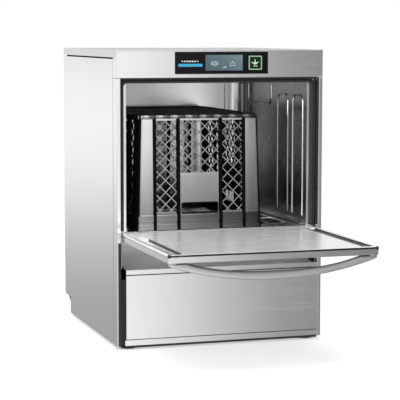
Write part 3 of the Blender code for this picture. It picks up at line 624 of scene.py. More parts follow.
def fillet(path, radius, steps=5, closed=False):
    """A path with its corners rounded."""
    points = [Vector(point) for point in path]
    count = len(points)
    rounded_path = []
    for i, corner in enumerate(points):
        if not closed and i in (0, count - 1):
            rounded_path.append(corner)
            continue
        before, after = points[i - 1] - corner, points[(i + 1) % count] - corner
        to_before, to_after = before.normalized(), after.normalized()
        half = math.acos(max(-1, min(1, to_before.dot(to_after)))) / 2
        cut = min(radius / math.tan(half), before.length * 0.49, after.length * 0.49)
        fitted = cut * math.tan(half)
        centre = corner + (to_before + to_after).normalized() * (fitted / math.sin(half))
        start, end = corner + to_before * cut - centre, corner + to_after * cut - centre
        for k in range(steps + 1):
            t = k / steps
            rounded_path.append(centre + (start * (1 - t) + end * t).normalized() * fitted)
    return rounded_path


# ================================================================ casing
# node, material, bevel width, bevel segments, which faces take the second material
for node, material, bevel, segments, second in (
        # the top cover's upward faces take the darker copy, as painted shade
        ("top_cover", [SHEET_Y, SHEET_TOP_SHADE], 0.0007, 3, lambda face: face.normal.z > 0.7),
        ("control_fascia", SHEET_X, 0.0005, 2, None),
        ("left_side_panel", SHEET_Z, 0.0006, 3, None),
        ("right_side_panel", SHEET_Z, 0.0006, 3, None),
        ("left_front_post", SHEET_Z, 0.0004, 2, None),
        ("right_front_post", SHEET_Z, 0.0004, 2, None),
        ("rear_panel", SHEET_Z, 0.0004, 2, None),
        ("base_pan", SHEET_X, 0.0004, 2, None),
        ("lower_front_panel", SHEET_X, 0.0007, 3, None),
        ("plinth_strip", SHEET_X, 0.0003, 2, None),
        ("door_sill", [SHEET_X, TROUGH], 0.0003, 2, lambda face: face.center.y > -0.3190)):
    refine(node, material, "brushed_stainless", bevel, segments, second=second)

# black strip under the plinth, a painted shadow line between plinth and floor; dark grey strips in
# the gap beside the left post; black closing strip of the plinth joint; outlines (y, z) or (x, y)
strip("plinth_shadow_strip", SEAL, [
    (-0.3206, 0.0018), (-0.3206, -0.0030), (-0.3198, -0.0042), (-0.3188, -0.0042),
    (-0.3180, -0.0030), (-0.3180, 0.0018)], along_x, -0.2770, 0.2880, bevel=0.0003)
# dark grey fill in the gap beside the left post, painted shade in that gap
strip("finger_gap_shade_fill", FOOT, [
    (-0.2975, -0.3211), (-0.2972, -0.3219), (-0.2930, -0.3221), (-0.2892, -0.3219),
    (-0.2886, -0.3211), (-0.2886, -0.3060), (-0.2889, -0.3060), (-0.2889, -0.3211)],
    along_z, 0.0010, 0.2880)
strip("finger_gap_shade_channel", FOOT, [
    (-0.2885, -0.3165), (-0.2875, -0.3165), (-0.2868, -0.3150), (-0.2868, -0.3112),
    (-0.2862, -0.3106), (-0.2758, -0.3106), (-0.2752, -0.3100), (-0.2752, -0.3094),
    (-0.2885, -0.3094)], along_z, 0.0040, 0.1850)
strip("plinth_joint_seal", SEAL, [
    (-0.3206, 0.0178), (-0.3208, 0.0184), (-0.3208, 0.0194), (-0.3206, 0.0200),
    (-0.3196, 0.0200), (-0.3196, 0.0178)], along_x, -0.2742, 0.2876)

# ================================================================ controls
refine("control_glass", GLASS, "black_glass", bevel=0.0005, segments=3)
refine("display_screen", SCREEN, "display")
refine("start_button", KEY, "button", bevel=0.0006, segments=3)
refine("control_housing", GREY, "grey_plastic", bevel=0.0008)
refine("control_board", BOARD, "circuit_board", bevel=0.0002, segments=1)

key_lo, key_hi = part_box("start_button")
key_x, key_z = (key_lo.x + key_hi.x) / 2, (key_lo.z + key_hi.z) / 2
key_skin = (key_lo.y - 0.0003, key_lo.y + 0.0004)          # y extent of the key's marks


def start_key_ring():
    def square(half, radius):
        return rounded(key_x - half, key_x + half, key_z - half, key_z + half, radius)

    half, width = 0.0195, 0.0032
    shape = bmesh.new()
    outline_ring(shape, square(half, 0.0028), square(half - width, 0.0008), along_y, *key_skin)
    put("start_key_ring", shape, GREEN, "button", "start_button", bevel=0.00012, segments=1)


def start_key_glyph():
    """A fan of three strokes over a short base line."""
    shape = bmesh.new()
    # heading in degrees, reach, turn of the heading along the stroke
    for heading, reach, turn in ((128, 0.01125, 26), (92, 0.0145, 0), (56, 0.01125, -26)):
        path = []
        for i in range(9):
            t = i / 8
            angle = math.radians(heading + (t - 0.5) * turn)
            radius = 0.003 + reach * t
            path.append(Vector((key_x - 0.0005 + radius * math.cos(angle), key_lo.y - 0.0001,
                                key_z - 0.0075 + radius * math.sin(angle))))
        sweep(shape, path, lambda t: 0.0008 + 0.0011 * math.sin(math.pi * min(1, t + 0.12)), 8)
    line = rounded(key_x - 0.0070, key_x + 0.0070, key_z - 0.0100, key_z - 0.0083, 0.0008, 3)
    prism(shape, line, along_y, *key_skin)
    put("start_key_glyph", shape, PALE, "button", "start_button")


def screen_glyphs():
    """Two rings between upright ticks, a dome over a line, and three level bars between."""
    screen_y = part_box("display_screen")[0].y
    skin = (screen_y - 0.0002, screen_y + 0.0003)
    ring_x, dome_x, mid_z = -0.0207, 0.0313, 0.7775
    shape = bmesh.new()

    def ring(x, z, outer, inner, steps):
        outline_ring(shape, circle(x, z, outer, steps), circle(x, z, inner, steps),
                     along_y, *skin)

    def bar(x0, x1, z0, z1, radius=0.0006):
        prism(shape, rounded(x0, x1, z0, z1, radius, 2), along_y, *skin)

    ring(ring_x, mid_z, 0.0068, 0.0052, 28)
    ring(ring_x, mid_z, 0.0034, 0.0024, 20)
    bar(ring_x - 0.0100, ring_x - 0.0082, mid_z - 0.0050, mid_z + 0.0050)
    bar(ring_x + 0.0082, ring_x + 0.0100, mid_z - 0.0050, mid_z + 0.0050)
    dome_outer, dome_inner = (arc(dome_x, mid_z - 0.0030, radius, 0, 180, 20)
                              for radius in (0.0072, 0.0057))
    prism(shape, dome_outer + dome_inner[::-1], along_y, *skin)
    bar(dome_x - 0.0095, dome_x + 0.0095, mid_z - 0.0062, mid_z - 0.0046)
    ring(dome_x, mid_z + 0.0052, 0.0012, 0.0004, 12)
    for k in range(3):
        bar(0.0022 + 0.0040 * k, 0.0046 + 0.0040 * k, 0.7650, 0.7672 + 0.0018 * k, 0.0004)
    put("screen_glyphs", shape, ICON, "display")


def level_mark():
    """A segmented blue bar on the glass with a row of dots over it."""
    glass_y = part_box("control_glass")[0].y
    skin = (glass_y - 0.0002, glass_y + 0.0003)
    shape = bmesh.new()
    for k in range(9):
        left = -0.1255 + k * 0.0077
        prism(shape, rounded(left, left + 0.0075, 0.7688, 0.7768, 0.0007, 2), along_y, *skin)
    put("level_bar_segments", shape, BLUE, "black_glass")
    shape = bmesh.new()
    for k in range(7):
        radius = 0.0016 + 0.0007 * math.sin(math.pi * k / 6)
        prism(shape, circle(-0.1145 + k * 0.0074, 0.7834, radius, 14), along_y, *skin)
    put("level_bar_dots", shape, CHALK, "black_glass")


start_key_ring()
start_key_glyph()
screen_glyphs()
level_mark()

# ================================================================ wash chamber
CHAMBER_HALF = 0.2655                    # half width between the side walls
CHAMBER_REAR = 0.2500                    # y of the rear wall
CHAMBER_CORNER = 0.045                   # radius of the rear corners
# the side walls take the darker copy of the steel, as painted shade
refine("wash_tank", [DEEP, WALL], "satin_stainless", bevel=0.0, angle=40,
       second=lambda face: abs(face.normal.x) > 0.90)

# (y, z) of the raised line near the rear of each side wall; y of the arches further forward
POCKET = [(0.205, 0.706), (0.205, 0.648), (0.020, 0.648), (0.000, 0.664), (0.000, 0.706)]
ARCHES = ((-0.054, -0.138), (-0.178, -0.258))
RUNNER = [(0.2650, 0.3170), (0.2560, 0.3170), (0.2548, 0.3180), (0.2548, 0.3184),
          (0.2640, 0.3184), (0.2640, 0.3290), (0.2650, 0.3290)]        # (x, z)
for side, side_name in SIDES:
    wall_x = side * CHAMBER_HALF
    shape = bmesh.new()
    sweep(shape, fillet([(wall_x, y, z) for y, z in POCKET], 0.012), 0.0032)
    for y0, y1 in ARCHES:
        arch = ((y0, 0.340), (y0, 0.684), (y1, 0.684), (y1, 0.340))
        sweep(shape, fillet([(wall_x, y, z) for y, z in arch], 0.022, 7), 0.0030)
    put(f"chamber_{side_name}_embossing", shape, DEEP, "satin_stainless")
    strip(f"chamber_{side_name}_runner", DEEP, mirrored(RUNNER, side), along_y,
          -0.2660, 0.2050, "satin_stainless", bevel=0.0003, segments=2)


def rear_flutes():
    """Two upright flutes beside each rear corner, and one in each corner's bend."""
    bend = math.radians(42)
    reach = CHAMBER_CORNER - 0.0003
    bend_x = CHAMBER_HALF - CHAMBER_CORNER + reach * math.cos(bend)
    bend_y = CHAMBER_REAR - CHAMBER_CORNER + reach * math.sin(bend)
    shape = bmesh.new()
    for side in (-1, 1):
        for x, y, radius, steps in ((0.2020, CHAMBER_REAR + 0.0006, 0.0030, 12),
                                    (0.2150, CHAMBER_REAR + 0.0002, 0.0022, 12),
                                    (bend_x, bend_y, 0.0022, 10)):
            sweep(shape, [(side * x, y, z) for z in (0.3350, 0.5000, 0.7020)], radius, steps)
    put("chamber_rear_flutes", shape, DEEP, "satin_stainless")


def seam_bead():
    """Bright bead round the rear and sides, near the top of the chamber."""
    x, rear, z = CHAMBER_HALF - 0.0015, CHAMBER_REAR - 0.0015, 0.7245
    path = [(-x, -0.2700, z), (-x, rear, z), (x, rear, z), (x, -0.2700, z)]
    shape = bmesh.new()
    sweep(shape, fillet(path, 0.044, 8), 0.0017, 8)
    put("chamber_seam_bead", shape, BAR, "satin_stainless")


def door_seal():
    """A two-bulb extrusion round the sides and top of the mouth."""
    inner, outer = 0.2737, 0.2883        # x of the seal's two edges
    crown_y, root_y = -0.2945, -0.2893   # y where the bulbs spring, and of the back
    corner, foot_z = 0.010, 0.3172
    inner_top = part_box("door_seal")[1].z - (outer - inner)
    profile = []
    # bulb centre from the inner edge, half width, height, steps
    for centre, half, height, steps in ((0.0042, 0.0042, 0.0040, 8), (0.0118, 0.0026, 0.0028, 6)):
        for k in range(steps + 1):
            angle = math.radians(180 * k / steps)
            profile.append((inner + centre - half * math.cos(angle),
                            crown_y - height * math.sin(angle)))
    profile += [(outer, crown_y), (outer, root_y), (inner, root_y)]

    def leg(side):
        return [Vector((side * x, y, foot_z)) for x, y in profile]

    def turn(side, degrees):
        angle = math.radians(degrees)
        return [Vector((side * (inner - corner) + (corner + x - inner) * math.cos(angle), y,
                        inner_top - corner + (corner + x - inner) * math.sin(angle)))
                for x, y in profile]

    shape = bmesh.new()
    loft(shape, [leg(-1), *(turn(-1, 180 - 90 * k / 6) for k in range(7)),
                 *(turn(1, 90 - 90 * k / 6) for k in range(7)), leg(1)])
    put("door_seal_extrusion", shape, SEAL, "black_rubber", replaces=("door_seal",), angle=50)


def rack_frame():
    """A rounded rectangle of round bar with bars across it both ways."""
    front, rear, half, z = -0.2170, 0.2410, 0.2440, 0.3120
    border = [(-half, front, z), (half, front, z), (half, rear, z), (-half, rear, z)]
    shape = bmesh.new()
    sweep(shape, fillet(border, 0.028, 6, True), 0.0028, 10, True)
    for xs, radius, steps, rise in (((-0.1200, 0.0, 0.1290), 0.0026, 10, 0.0),
                                    ((-0.1820, -0.0600, 0.0650, 0.1880), 0.0017, 8, 0.0004)):
        for x in xs:
            sweep(shape, [(x, y, z + rise) for y in (front, 0.0, rear)], radius, steps)
    for y in (-0.0600, 0.0900):
        sweep(shape, [(x, y, z - 0.0004) for x in (-half, 0.0, half)], 0.0026)
    put("rack_frame_bars", shape, WIRE, "polished_bar", replaces=("rack_frame",))


rear_flutes()
seam_bead()
door_seal()

# closing strip between the seal and the fascia's lower edge, (y, z)
strip("fascia_drip_strip", SEAL, [
    (-0.3185, 0.7400), (-0.2975, 0.7400), (-0.2968, 0.7390), (-0.2968, 0.7330),
    (-0.2977, 0.7330), (-0.2985, 0.7384), (-0.3185, 0.7387)], along_x, -0.2870, 0.2870)
# gaskets in the gaps beside the posts
for side, side_name in SIDES:
    strip(f"gap_gasket_{side_name}", SEAL,
          rectangle(*sorted((side * 0.2965, side * 0.2985)), -0.2830, -0.2740),
          along_z, 0.004, 0.790, bevel=0.0003)

rack_frame()
refine("tank_filter", PERFORATED, "satin_stainless", bevel=0.0)
refine("sump_strainer", PERFORATED, "satin_stainless", bevel=0.0)
refine("tank_heating_element", BAR, "polished_bar", bevel=0.0, angle=50)
refine("lower_spindle", GREY, "grey_plastic", bevel=0.0003)
refine("upper_spindle", GREY, "grey_plastic", bevel=0.0003)

# standpipe with a rolled top, (radius, z)
STANDPIPE = [
    (0.0092, 0.2005), (0.0138, 0.2005), (0.0138, 0.2030), (0.0121, 0.2110), (0.0119, 0.2860),
    (0.0128, 0.2885), (0.0128, 0.2925), (0.0120, 0.2940), (0.0135, 0.2965), (0.0139, 0.2985),
    (0.0130, 0.2999), (0.0115, 0.2995), (0.0104, 0.2950), (0.0098, 0.2880)]
shape = bmesh.new()
lathe(shape, STANDPIPE, along_z, 0.205, 0.205)
put("overflow_standpipe_finish", shape, GREY, "grey_plastic", "standpipe",
    ("overflow_standpipe",))


# ================================================================ spray arms
ARM_Y = 0.0120                           # the spindle axis is at x = 0 and this y
ARM_REACH = 0.2296                       # from the axis to the tip
ARM_ROUND = 0.2120                       # where the tip starts to round off
ARM_STATIONS = (0.0142, 0.030, 0.060, 0.100, 0.150, 0.195, 0.212, 0.222, 0.2275, ARM_REACH)
JET_STATIONS = (0.055, 0.088, 0.121, 0.154, 0.187, 0.208)


def spray_arm(node, half_root, half_tip, hub_radius, jet_side):
    """Two tapering blades on a hub, with jets on top (1) or underneath (-1)."""
    lo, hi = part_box(node)
    z0, z1 = lo.z + 0.0004, hi.z - 0.0006
    mid_z, half_z = (z0 + z1) / 2, (z1 - z0) / 2
    shape = bmesh.new()
    for side in (-1, 1):
        loops = []
        for x in ARM_STATIONS:
            taper = min(1.0, max(0.0, (x - 0.06) / (0.2180 - 0.06)))
            width = half_root + (half_tip - half_root) * taper
            height = half_z
            past = x - ARM_ROUND
            if past > 0:
                width = half_tip * math.sqrt(max(0.03, 1 - (past / (ARM_REACH - ARM_ROUND)) ** 2))
            if past >= 0:
                end = ARM_REACH - ARM_ROUND + 0.002
                height *= math.sqrt(max(0.12, 1 - (past / end) ** 2))
            loops.append([Vector((side * x, ARM_Y + width * signed_power(u, 0.75),
                                  mid_z + height * signed_power(v, 0.75)))
                          for u, v in circle(0, 0, 1, 16)])
        loft(shape, loops)
    bottom, top = lo.z + 0.0001, hi.z - 0.0001
    lathe(shape, [(0.0127, bottom), (hub_radius - 0.0006, bottom), (hub_radius, lo.z + 0.0008),
                  (hub_radius, hi.z - 0.0008), (hub_radius - 0.0006, top), (0.0127, top)],
          along_z, 0.0, ARM_Y)
    put(node + "_blade", shape, GREY, "grey_plastic", node, (node,), angle=50)

    jet_z = z1 if jet_side > 0 else z0
    jet_radius = min(0.0045, half_tip * 0.55)
    # share of the jet radius, height off the blade
    profile = [(jet_radius * share, jet_z + jet_side * height) for share, height in (
        (0, -0.0010), (1, -0.0010), (1, 0.0002), (0.8, 0.0005), (0.35, 0.0005),
        (0.35, -0.0004), (0, -0.0004))]
    shape = bmesh.new()
    for side in (-1, 1):
        for x in JET_STATIONS:
            offset = 0.25 * half_tip * (1 if int(x * 1000) % 2 else -1)
            lathe(shape, profile, along_z, side * x, ARM_Y + offset, 14)
    put(node + "_jets", shape, HOSE, "grey_plastic", node)


for level, jet_side in (("lower", 1), ("upper", -1)):
    spray_arm(f"{level}_wash_arm", half_root=0.0168, half_tip=0.0118, hub_radius=0.0208,
              jet_side=jet_side)
    spray_arm(f"{level}_rinse_arm", half_root=0.0078, half_tip=0.0063, hub_radius=0.0168,
              jet_side=jet_side)

# ================================================================ door
refine("door_outer_panel", SHEET_X, "brushed_stainless", bevel=0.0010, segments=3)
refine("door_insulation", FOAM, "door_foam", bevel=0.0006)
for _, side_name in SIDES:
    refine(f"door_hinge_plate_{side_name}", ZINC, "zinc_plate", bevel=0.0003)
    refine(f"hinge_bracket_{side_name}", ZINC, "zinc_plate", bevel=0.0003)
    refine(f"hinge_pin_{side_name}", BAR, "polished_bar", bevel=0.0002)
    refine(f"hinge_spring_{side_name}", ZINC, "zinc_plate", bevel=0.0, angle=60)

DOOR_HALF = 0.2840                       # half width of the lining
DOOR_FRONT, DOOR_REAR = -0.7565, -0.2360
# Right half of the lining's section, (x, z): its upper skin outwards, its lower skin inwards
LINING_UPPER = [
    (0.2440, 0.3130), (0.2452, 0.3130), (0.2458, 0.3126), (0.2464, 0.3104), (0.2472, 0.3093),
    (0.2486, 0.3090), (0.2700, 0.3090), (0.2712, 0.3091), (0.2722, 0.3098), (0.2727, 0.3108),
    (0.2730, 0.3122), (0.2735, 0.3131), (0.2743, 0.3135), (0.2828, 0.3135), (0.2836, 0.3131),
    (0.2840, 0.3124), (0.2840, 0.3083)]
LINING_LOWER = [
    (0.2830, 0.3083), (0.2830, 0.3120), (0.2826, 0.3126), (0.2748, 0.3126), (0.2742, 0.3122),
    (0.2737, 0.3108), (0.2732, 0.3094), (0.2722, 0.3084), (0.2706, 0.3081), (0.2480, 0.3081),
    (0.2464, 0.3084), (0.2455, 0.3096), (0.2450, 0.3118), (0.2440, 0.3121)]
# y, depth of the left and right side channels (0 flush, 1 full), narrowing, lowering of the top
LINING_STATIONS = [
    (DOOR_FRONT, 0, 0, 0.0030, 0.0008), (-0.7562, 0, 0, 0.0016, 0.0003),
    (-0.7554, 0, 0, 0.0005, 0), (-0.7535, 0, 0, 0, 0), (-0.7450, 0, 0, 0, 0),
    (-0.7440, 0.12, 0.12, 0, 0), (-0.7425, 0.55, 0.55, 0, 0), (-0.7410, 0.9, 0.9, 0, 0),
    (-0.7395, 1, 1, 0, 0), (-0.6000, 1, 1, 0, 0), (-0.4560, 1, 1, 0, 0),
    (-0.4545, 0.9, 1, 0, 0), (-0.4530, 0.55, 1, 0, 0), (-0.4515, 0.12, 1, 0, 0),
    (-0.4505, 0, 1, 0, 0), (-0.3440, 0, 1, 0, 0), (-0.3425, 0, 0.9, 0, 0),
    (-0.3410, 0, 0.55, 0, 0), (-0.3395, 0, 0.12, 0, 0), (-0.3385, 0, 0, 0, 0),
    (-0.3000, 0, 0, 0, 0), (-0.2375, 0, 0, 0, 0), (DOOR_REAR, 0, 0, 0, 0)]


def lining_half(line, flush_z, depth, narrow, lower):
    """One skin of a half section with its channel at the given depth."""
    half = []
    for x, z in line:
        if 0.2440 < x < 0.2743:
            z = flush_z + (z - flush_z) * depth
        if z > 0.3085:
            z -= lower
        half.append((x - narrow if x > 0.2735 else x, z))
    return half


def lining_section(y, left_depth, right_depth, narrow, lower):
    upper_left, upper_right = (lining_half(LINING_UPPER, 0.3130, depth, narrow, lower)
                               for depth in (left_depth, right_depth))
    lower_left, lower_right = (lining_half(LINING_LOWER, 0.3121, depth, narrow, 0.0)
                               for depth in (left_depth, right_depth))
    outline = (mirrored(upper_left[::-1], -1) + upper_right + lower_right
               + mirrored(lower_left[::-1], -1))
    return [Vector((x, y, z)) for x, z in outline]


shape = bmesh.new()
loft(shape, [lining_section(*station) for station in LINING_STATIONS])
put("door_lining", shape, INNER, "satin_stainless", "door", ("door_inner_panel",), angle=32)

# black beads along both edges of each side channel, (x, z)
OUTER_BEAD = [(0.2728, 0.3092), (0.2650, 0.3088), (0.2646, 0.3094), (0.2690, 0.3104),
              (0.2706, 0.3130), (0.2714, 0.3134), (0.2730, 0.3134)]
INNER_BEAD = [(0.2444, 0.3126), (0.2444, 0.3138), (0.2450, 0.3143), (0.2490, 0.3143),
              (0.2498, 0.3136), (0.2502, 0.3091), (0.2476, 0.3091)]
shape = bmesh.new()
for side, bead_end in ((-1, -0.4575), (1, -0.3450)):
    for bead in (OUTER_BEAD, INNER_BEAD):
        prism(shape, mirrored(bead, side), along_y, -0.7390, bead_end)
put("door_lining_beads", shape, GRIP, "black_rubber", "door", bevel=0.0002, segments=1)


def lining_boss():
    """A raised oval with a sunk middle near the lining's left rear corner."""
    x, y, half_x, half_y = -0.2580, -0.3700, 0.0145, 0.0620
    # share of the full width, z
    levels = ((1.0, 0.3100), (1.0, 0.3127), (0.95, 0.3135), (0.88, 0.3139), (0.78, 0.3141),
              (0.66, 0.3140), (0.58, 0.3137), (0.48, 0.3134), (0.36, 0.3132))
    loops = []
    for share, z in levels:
        length = (half_y - half_x * (1 - share)) * share ** 0.25
        loops.append([Vector((x + half_x * share * signed_power(u, 0.8),
                              y + length * signed_power(v, 0.9), z))
                      for u, v in circle(0, 0, 1, 44)])
    shape = bmesh.new()
    loft(shape, loops)
    put("door_lining_bosses", shape, BOSS, "satin_stainless", "door", angle=60)


def joint_gasket():
    """Black gasket in the joint between the door's two skins."""
    def outline(inset, radius):
        return rounded(-DOOR_HALF + inset, DOOR_HALF - inset, DOOR_FRONT + inset,
                       DOOR_REAR - inset - 0.0018, radius, 4)

    shape = bmesh.new()
    outline_ring(shape, outline(0.0012, 0.0020), outline(0.0052, 0.0010), along_z,
                 0.3069, 0.3086)
    put("door_joint_gasket", shape, GRIP, "black_rubber", "door")


def bow_handle():
    """A bar sagging between its two ends, of changing oval section."""
    half_length, y, half_y, count = 0.2790, -0.7495, 0.0072, 96
    loops = []
    for i in range(count + 1):
        along = 2 * i / count - 1                     # -1 at the left end, 1 at the right
        sag = 1 - along * along
        bottom = 0.2872 - 0.0410 * sag - 0.0042 - 0.0034 * math.sqrt(max(0.0, sag))
        top = 0.2914 if abs(along) > 0.84 else 0.2626 + 0.0288 * (abs(along) / 0.84) ** 2.6
        mid_z, half_z = (bottom + top) / 2, (top - bottom) / 2
        size = 1.0 if 0 < i < count else 0.86
        loop = []
        for k in range(28):
            angle = 2 * math.pi * (k + 0.5) / 28
            loop.append(Vector((
                half_length * along,
                y + half_y * size * signed_power(math.cos(angle), 0.72),
                mid_z + half_z * size * signed_power(math.sin(angle), 0.78))))
        loops.append(loop)
    shape = bmesh.new()
    loft(shape, loops)
    put("door_bow_handle", shape, HANDLE, "polished_bar", "door", ("door_handle",), angle=60)


lining_boss()
joint_gasket()

# levels are (z, inset)
PLUG_LEVELS = ((0.3052, 0.0006), (0.3056, 0.0), (0.3128, 0.0), (0.3137, 0.0006),
               (0.3140, 0.0016))
HANDLE_FOOT_LEVELS = ((0.2846, 0.0012), (0.2852, 0.0002), (0.2900, 0.0), (0.2918, -0.0006))
for side, side_name in SIDES:
    shape = bmesh.new()
    rounded_stack(shape, sorted((side * 0.2770, side * 0.2843)), (-0.7569, -0.7500),
                  0.0018, PLUG_LEVELS, 4)
    put(f"door_corner_plug_{side_name}", shape, GRIP, "black_rubber", "door")
bow_handle()
for side, side_name in SIDES:
    shape = bmesh.new()
    rounded_stack(shape, sorted((side * 0.2600, side * 0.2812)), (-0.7553, -0.7437),
                  0.0045, HANDLE_FOOT_LEVELS, 5)
    put(f"handle_foot_{side_name}", shape, HANDLE, "polished_bar", "door", angle=45)

# ================================================================ wash crate
# The crate stands on its rim. Each wall has its own frame: s along it, h up from the rim and
# d outwards from its tapering face.
crate_lo, crate_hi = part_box("wash_crate")
MID_X, MID_Y = (crate_lo.x + crate_hi.x) / 2, (crate_lo.y + crate_hi.y) / 2
RIM_Z, CRATE_HEIGHT = crate_lo.z, crate_hi.z - crate_lo.z
HALF_WIDTH = (crate_hi.x - crate_lo.x) / 2 - 0.003
HALF_DEPTH = (crate_hi.y - crate_lo.y) / 2 - 0.003
CORNER_RADIUS = 0.0125
BAY_TOP = 0.3040


def draft(h):
    """How far the walls have drawn in at height h."""
    return 0.0090 * h / CRATE_HEIGHT


def on_front(s, h, d):
    return Vector((MID_X + s, MID_Y - HALF_DEPTH + draft(h) - d, RIM_Z + h))


def on_back(s, h, d):
    return Vector((MID_X - s, MID_Y + HALF_DEPTH - draft(h) + d, RIM_Z + h))


def on_left(s, h, d):
    return Vector((MID_X - HALF_WIDTH + draft(h) - d, MID_Y - s, RIM_Z + h))


def on_right(s, h, d):
    return Vector((MID_X + HALF_WIDTH - draft(h) + d, MID_Y + s, RIM_Z + h))


def wall_layout(bays, edge, hole_top, half_length, lip_count):
    """bays are (s0, s1, bottom); ribs fill the gaps between them out to the edge."""
    stops = [-edge] + [s for s0, s1, _ in bays for s in (s0, s1)] + [edge]
    return SimpleNamespace(
        bays=bays, ribs=list(zip(stops[::2], stops[1::2])), middle=bays[len(bays) // 2][1],
        edge=edge, hole_top=hole_top, half_length=half_length, lip_count=lip_count)


SHORT = wall_layout(((-0.1255, -0.0670, 0.0500), (-0.0565, 0.0565, 0.1585),
                     (0.0670, 0.1255, 0.0500)),
                    edge=0.1350, hole_top=0.0740, half_length=HALF_WIDTH, lip_count=8)
LONG = wall_layout(((-0.2150, -0.1480, 0.0500), (-0.1380, -0.0680, 0.0500),
                    (-0.0580, 0.0580, 0.1585), (0.0680, 0.1380, 0.0500),
                    (0.1480, 0.2150, 0.0500)),
                   edge=0.2225, hole_top=0.0800, half_length=HALF_DEPTH, lip_count=12)
# wall frame, layout, width of its lattice strands
WALLS = ((on_front, SHORT, 0.0027), (on_back, SHORT, 0.0066),
         (on_left, LONG, 0.0027), (on_right, LONG, 0.0036))
HOLE_HALF, HOLE_BOTTOM = 0.0520, 0.0450


def put_crate(name, shape, material, body="crate", **options):
    put(name, shape, material, "black_crate_plastic", body, **options)


# faces towards front and back, which take the painted sheen as their second material
def faces_front_or_back(face):
    return abs(face.normal.y) > 0.85


def clip(polygon, s0, s1, h0, h1):
    """The part of a polygon inside a rectangle, without doubled points."""
    for axis, limit, keep in ((0, s0, 1), (0, s1, -1), (1, h0, 1), (1, h1, -1)):
        kept = []
        for i, point in enumerate(polygon):
            before = polygon[i - 1]
            inside = keep * (point[axis] - limit) >= 0
            before_inside = keep * (before[axis] - limit) >= 0
            if inside != before_inside:
                t = (limit - before[axis]) / (point[axis] - before[axis])
                kept.append((before[0] + t * (point[0] - before[0]),
                             before[1] + t * (point[1] - before[1])))
            if inside:
                kept.append(point)
        polygon = kept
        if len(polygon) < 3:
            return []
    clean = []
    for point in polygon:
        if not clean or math.dist(point, clean[-1]) > 2e-5:
            clean.append(point)
    if len(clean) > 2 and math.dist(clean[0], clean[-1]) < 2e-5:
        clean.pop()
    return clean if len(clean) > 2 else []


def lattice(shape, place, s0, s1, h0, h1, width):
    """Strands at 45 degrees both ways over a bay, one way slightly behind the other."""
    pitch, shift, overlap, beyond = 0.0330, 0.0065, 0.0015, 0.1
    s0, s1, h0, h1 = s0 - overlap, s1 + overlap, h0 - overlap, h1 + overlap
    half = width / math.sqrt(2)
    left, right = s0 - beyond, s1 + beyond
    for slope, depths in ((1, (-0.0034, -0.0006)), (-1, (-0.0030, -0.0002))):
        first = int(math.floor((h0 - slope * s1) / pitch)) - 14
        for k in range(first, first + 60):
            mid = k * pitch + shift
            strand = clip([(left, slope * left + mid - half), (right, slope * right + mid - half),
                           (right, slope * right + mid + half),
                           (left, slope * left + mid + half)], s0, s1, h0, h1)
            area = abs(sum(strand[i - 1][0] * point[1] - point[0] * strand[i - 1][1]
                           for i, point in enumerate(strand))) / 2
            if area > 2e-6:
                prism(shape, strand, place, *depths)


def crate_lattice():
    shape = bmesh.new()
    for place, layout, width in WALLS:
        for s0, s1, bottom in layout.bays:
            lattice(shape, place, s0, s1, bottom, BAY_TOP, width)
    put_crate("crate_lattice", shape, [CRATE, STRAND_SHEEN], bevel=0.0004, segments=1,
              second=faces_front_or_back)


def crate_plates():
    """Bars above and below the bays, plates over and beside the hand holes."""
    shape = bmesh.new()
    for place, layout, _ in WALLS:
        middle, hole_top = layout.middle, layout.hole_top
        plates = []
        for s0, s1, bottom in layout.bays:
            plates.append((s0 - 0.0010, s1 + 0.0010, BAY_TOP, BAY_TOP + 0.0050))
            plates.append((s0 - 0.0010, s1 + 0.0010, bottom - 0.0050, bottom))
        plates.append((-middle, middle, hole_top, 0.1545))
        for side in (-1, 1):
            plates.append((*sorted((side * HOLE_HALF, side * middle)),
                           HOLE_BOTTOM - 0.001, hole_top))
        for plate in plates:
            prism(shape, rectangle(*plate), place, -0.0040, 0.0)
    put_crate("crate_plates", shape, [CRATE, SHEEN], bevel=0.0008, second=faces_front_or_back)


def hand_hole_lips():
    shape = bmesh.new()
    for place, layout, _ in WALLS:
        top = layout.hole_top
        outer = rounded(-HOLE_HALF - 0.0022, HOLE_HALF + 0.0022,
                        HOLE_BOTTOM + 0.0002, top + 0.0022, 0.0060)
        inner = rounded(-HOLE_HALF + 0.0010, HOLE_HALF - 0.0010,
                        HOLE_BOTTOM + 0.0030, top - 0.0010, 0.0040)
        outline_ring(shape, outer, inner, place, -0.0100, 0.0008)
    put_crate("crate_hand_hole_lips", shape, CRATE, bevel=0.0006)


def corner_columns():
    """An L of sheet with a rounded bend at each corner, following the draft."""
    thickness, end_x, end_y = 0.0038, 0.1340, 0.2210
    shape = bmesh.new()
    for side_x in (-1, 1):
        for side_y in (-1, 1):
            loops = []
            for h in (0.0430, 0.1100, 0.2000, 0.3080):
                x, y = HALF_WIDTH - draft(h), HALF_DEPTH - draft(h)
                bend = (x - CORNER_RADIUS, y - CORNER_RADIUS)
                outline = [(end_x, y), *arc(*bend, CORNER_RADIUS, 90, 0, 8),
                           (x, end_y), (x - thickness, end_y),
                           *arc(*bend, CORNER_RADIUS - thickness, 0, 90, 8),
                           (end_x, y - thickness)]
                loops.append([Vector((MID_X + side_x * u, MID_Y + side_y * v, RIM_Z + h))
                              for u, v in outline])
            loft(shape, loops)
    # the columns' faces towards front and back take the painted sheen
    put_crate("crate_corner_columns", shape, [CRATE, SHEEN], replaces=("wash_crate",), angle=40,
              second=lambda face: abs(face.normal.y) > 0.93)


